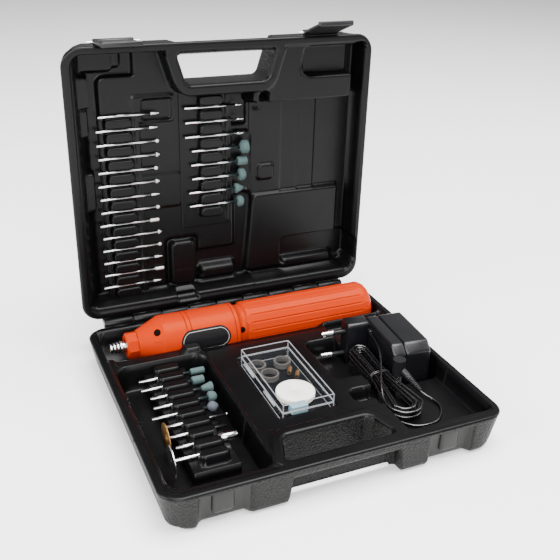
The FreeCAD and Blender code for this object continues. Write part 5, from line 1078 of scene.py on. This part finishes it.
def box_outline(radius, shrink=0.0):
    """The clear box seen from above, drawn in by shrink, its corners rounded."""
    x0, x1, y0, y1 = BOX[0] + shrink, BOX[1] - shrink, BOX[2] + shrink, BOX[3] - shrink
    return rounded_outline([(x0, y0), (x1, y0), (x1, y1), (x0, y1)], radius)


def box_edge_glint(shrink, level, thick):
    """A painted highlight on a cut edge of the clear box: a pale square strip round its outline."""
    path = box_outline(1.6, shrink)
    away = np.sign(path - path.mean(0))
    rings = [np.column_stack([path - away * pull, np.full(len(path), level + rise)])
             for pull, rise in ((0, 0), (thick, 0), (thick, thick), (0, thick))]
    return np.concatenate(rings), grid_quads(ring_index(4, len(path), True))


def box_corner_glints(low, high):
    """Painted highlights on the four upright corners: pale rods between two levels."""
    return [rounded_box((x - 0.35, y - 0.35, low), (x + 0.35, y + 0.35, high), 0.12)
            for x in (BOX[0] + 0.6, BOX[1] - 0.6) for y in (BOX[2] + 0.6, BOX[3] - 0.6)]


def box_half(low, high):
    """A closed half of the clear box: its outline carried up from low to high."""
    points, faces = rounded_slab(box_outline(2.2), low, high, 0.5)
    return points[:, [1, 2, 0]], faces


assemble("clear_tray", [box_half(BOX_LOW, BOX_SPLIT - 0.1)], clear_paint, "accessory_box", ["clear_box_base"])
assemble("clear_cover", [box_half(BOX_SPLIT, BOX_TOP)], clear_paint, "box_cover", ["clear_box_cover"])
hinges = [lathe([(0, 0), (0, 1.0), (18.0, 1.0), (18.0, 0)], (-21.2, middle - 9, 24.7), (0, 1, 0), 20)
          for middle in (-27.5, 9.5)]
tray_edge_glints = [box_edge_glint(0.1, BOX_LOW + 0.1, 0.5), box_edge_glint(0.05, BOX_SPLIT - 0.7, 0.55)]
assemble("tray_edge_glints", tray_edge_glints + box_corner_glints(BOX_LOW + 0.3, BOX_SPLIT - 0.4) + hinges, glint_edge_paint,
         "accessory_box")
cover_edge_glints = [box_edge_glint(0.05, BOX_SPLIT + 0.1, 0.5), box_edge_glint(0.3, BOX_TOP - 0.75, 0.6)]
assemble("cover_edge_glints", cover_edge_glints + box_corner_glints(BOX_SPLIT + 0.4, BOX_TOP - 0.4), glint_edge_paint, "box_cover")
felt_paint = gritty("pressed_felt", 0.95, 1600.0, 4.0, 0.75, (0.78, 0.75, 0.66), (0.93, 0.91, 0.85), 0.0003,
                    Sheen_Weight=0.3)
felt = lathe([(0, 0), (0, 12.9), (0.3, 13.5), (0.9, 13.75), (3.5, 13.75), (4.1, 13.5), (4.4, 12.9), (4.3, 1.3),
              (3.9, 1.0), (3.9, 0)], (0.6, -22.3, 18.6), (0, 0, 1), 96)
assemble("felt_disc", [felt], felt_paint, "accessory_box", ["felt_wheel"])
dress(["sanding_bands"], gritty("coated_abrasive", 0.8, 3000.0, 3.0, 0.7, (0.012, 0.010, 0.009),
                                (0.07, 0.062, 0.056), 0.0001))
stick_paint = gritty("dressing_stone", 0.8, 1800.0, 3.0, 0.7, (0.14, 0.25, 0.30), (0.22, 0.34, 0.38), 0.0001)
assemble("stone_stick", [rounded_box((-11.45, -43.5, 18.6), (0.55, -37.2, 24.6), 0.5)], stick_paint,
         "accessory_box", ["dressing_stone"])
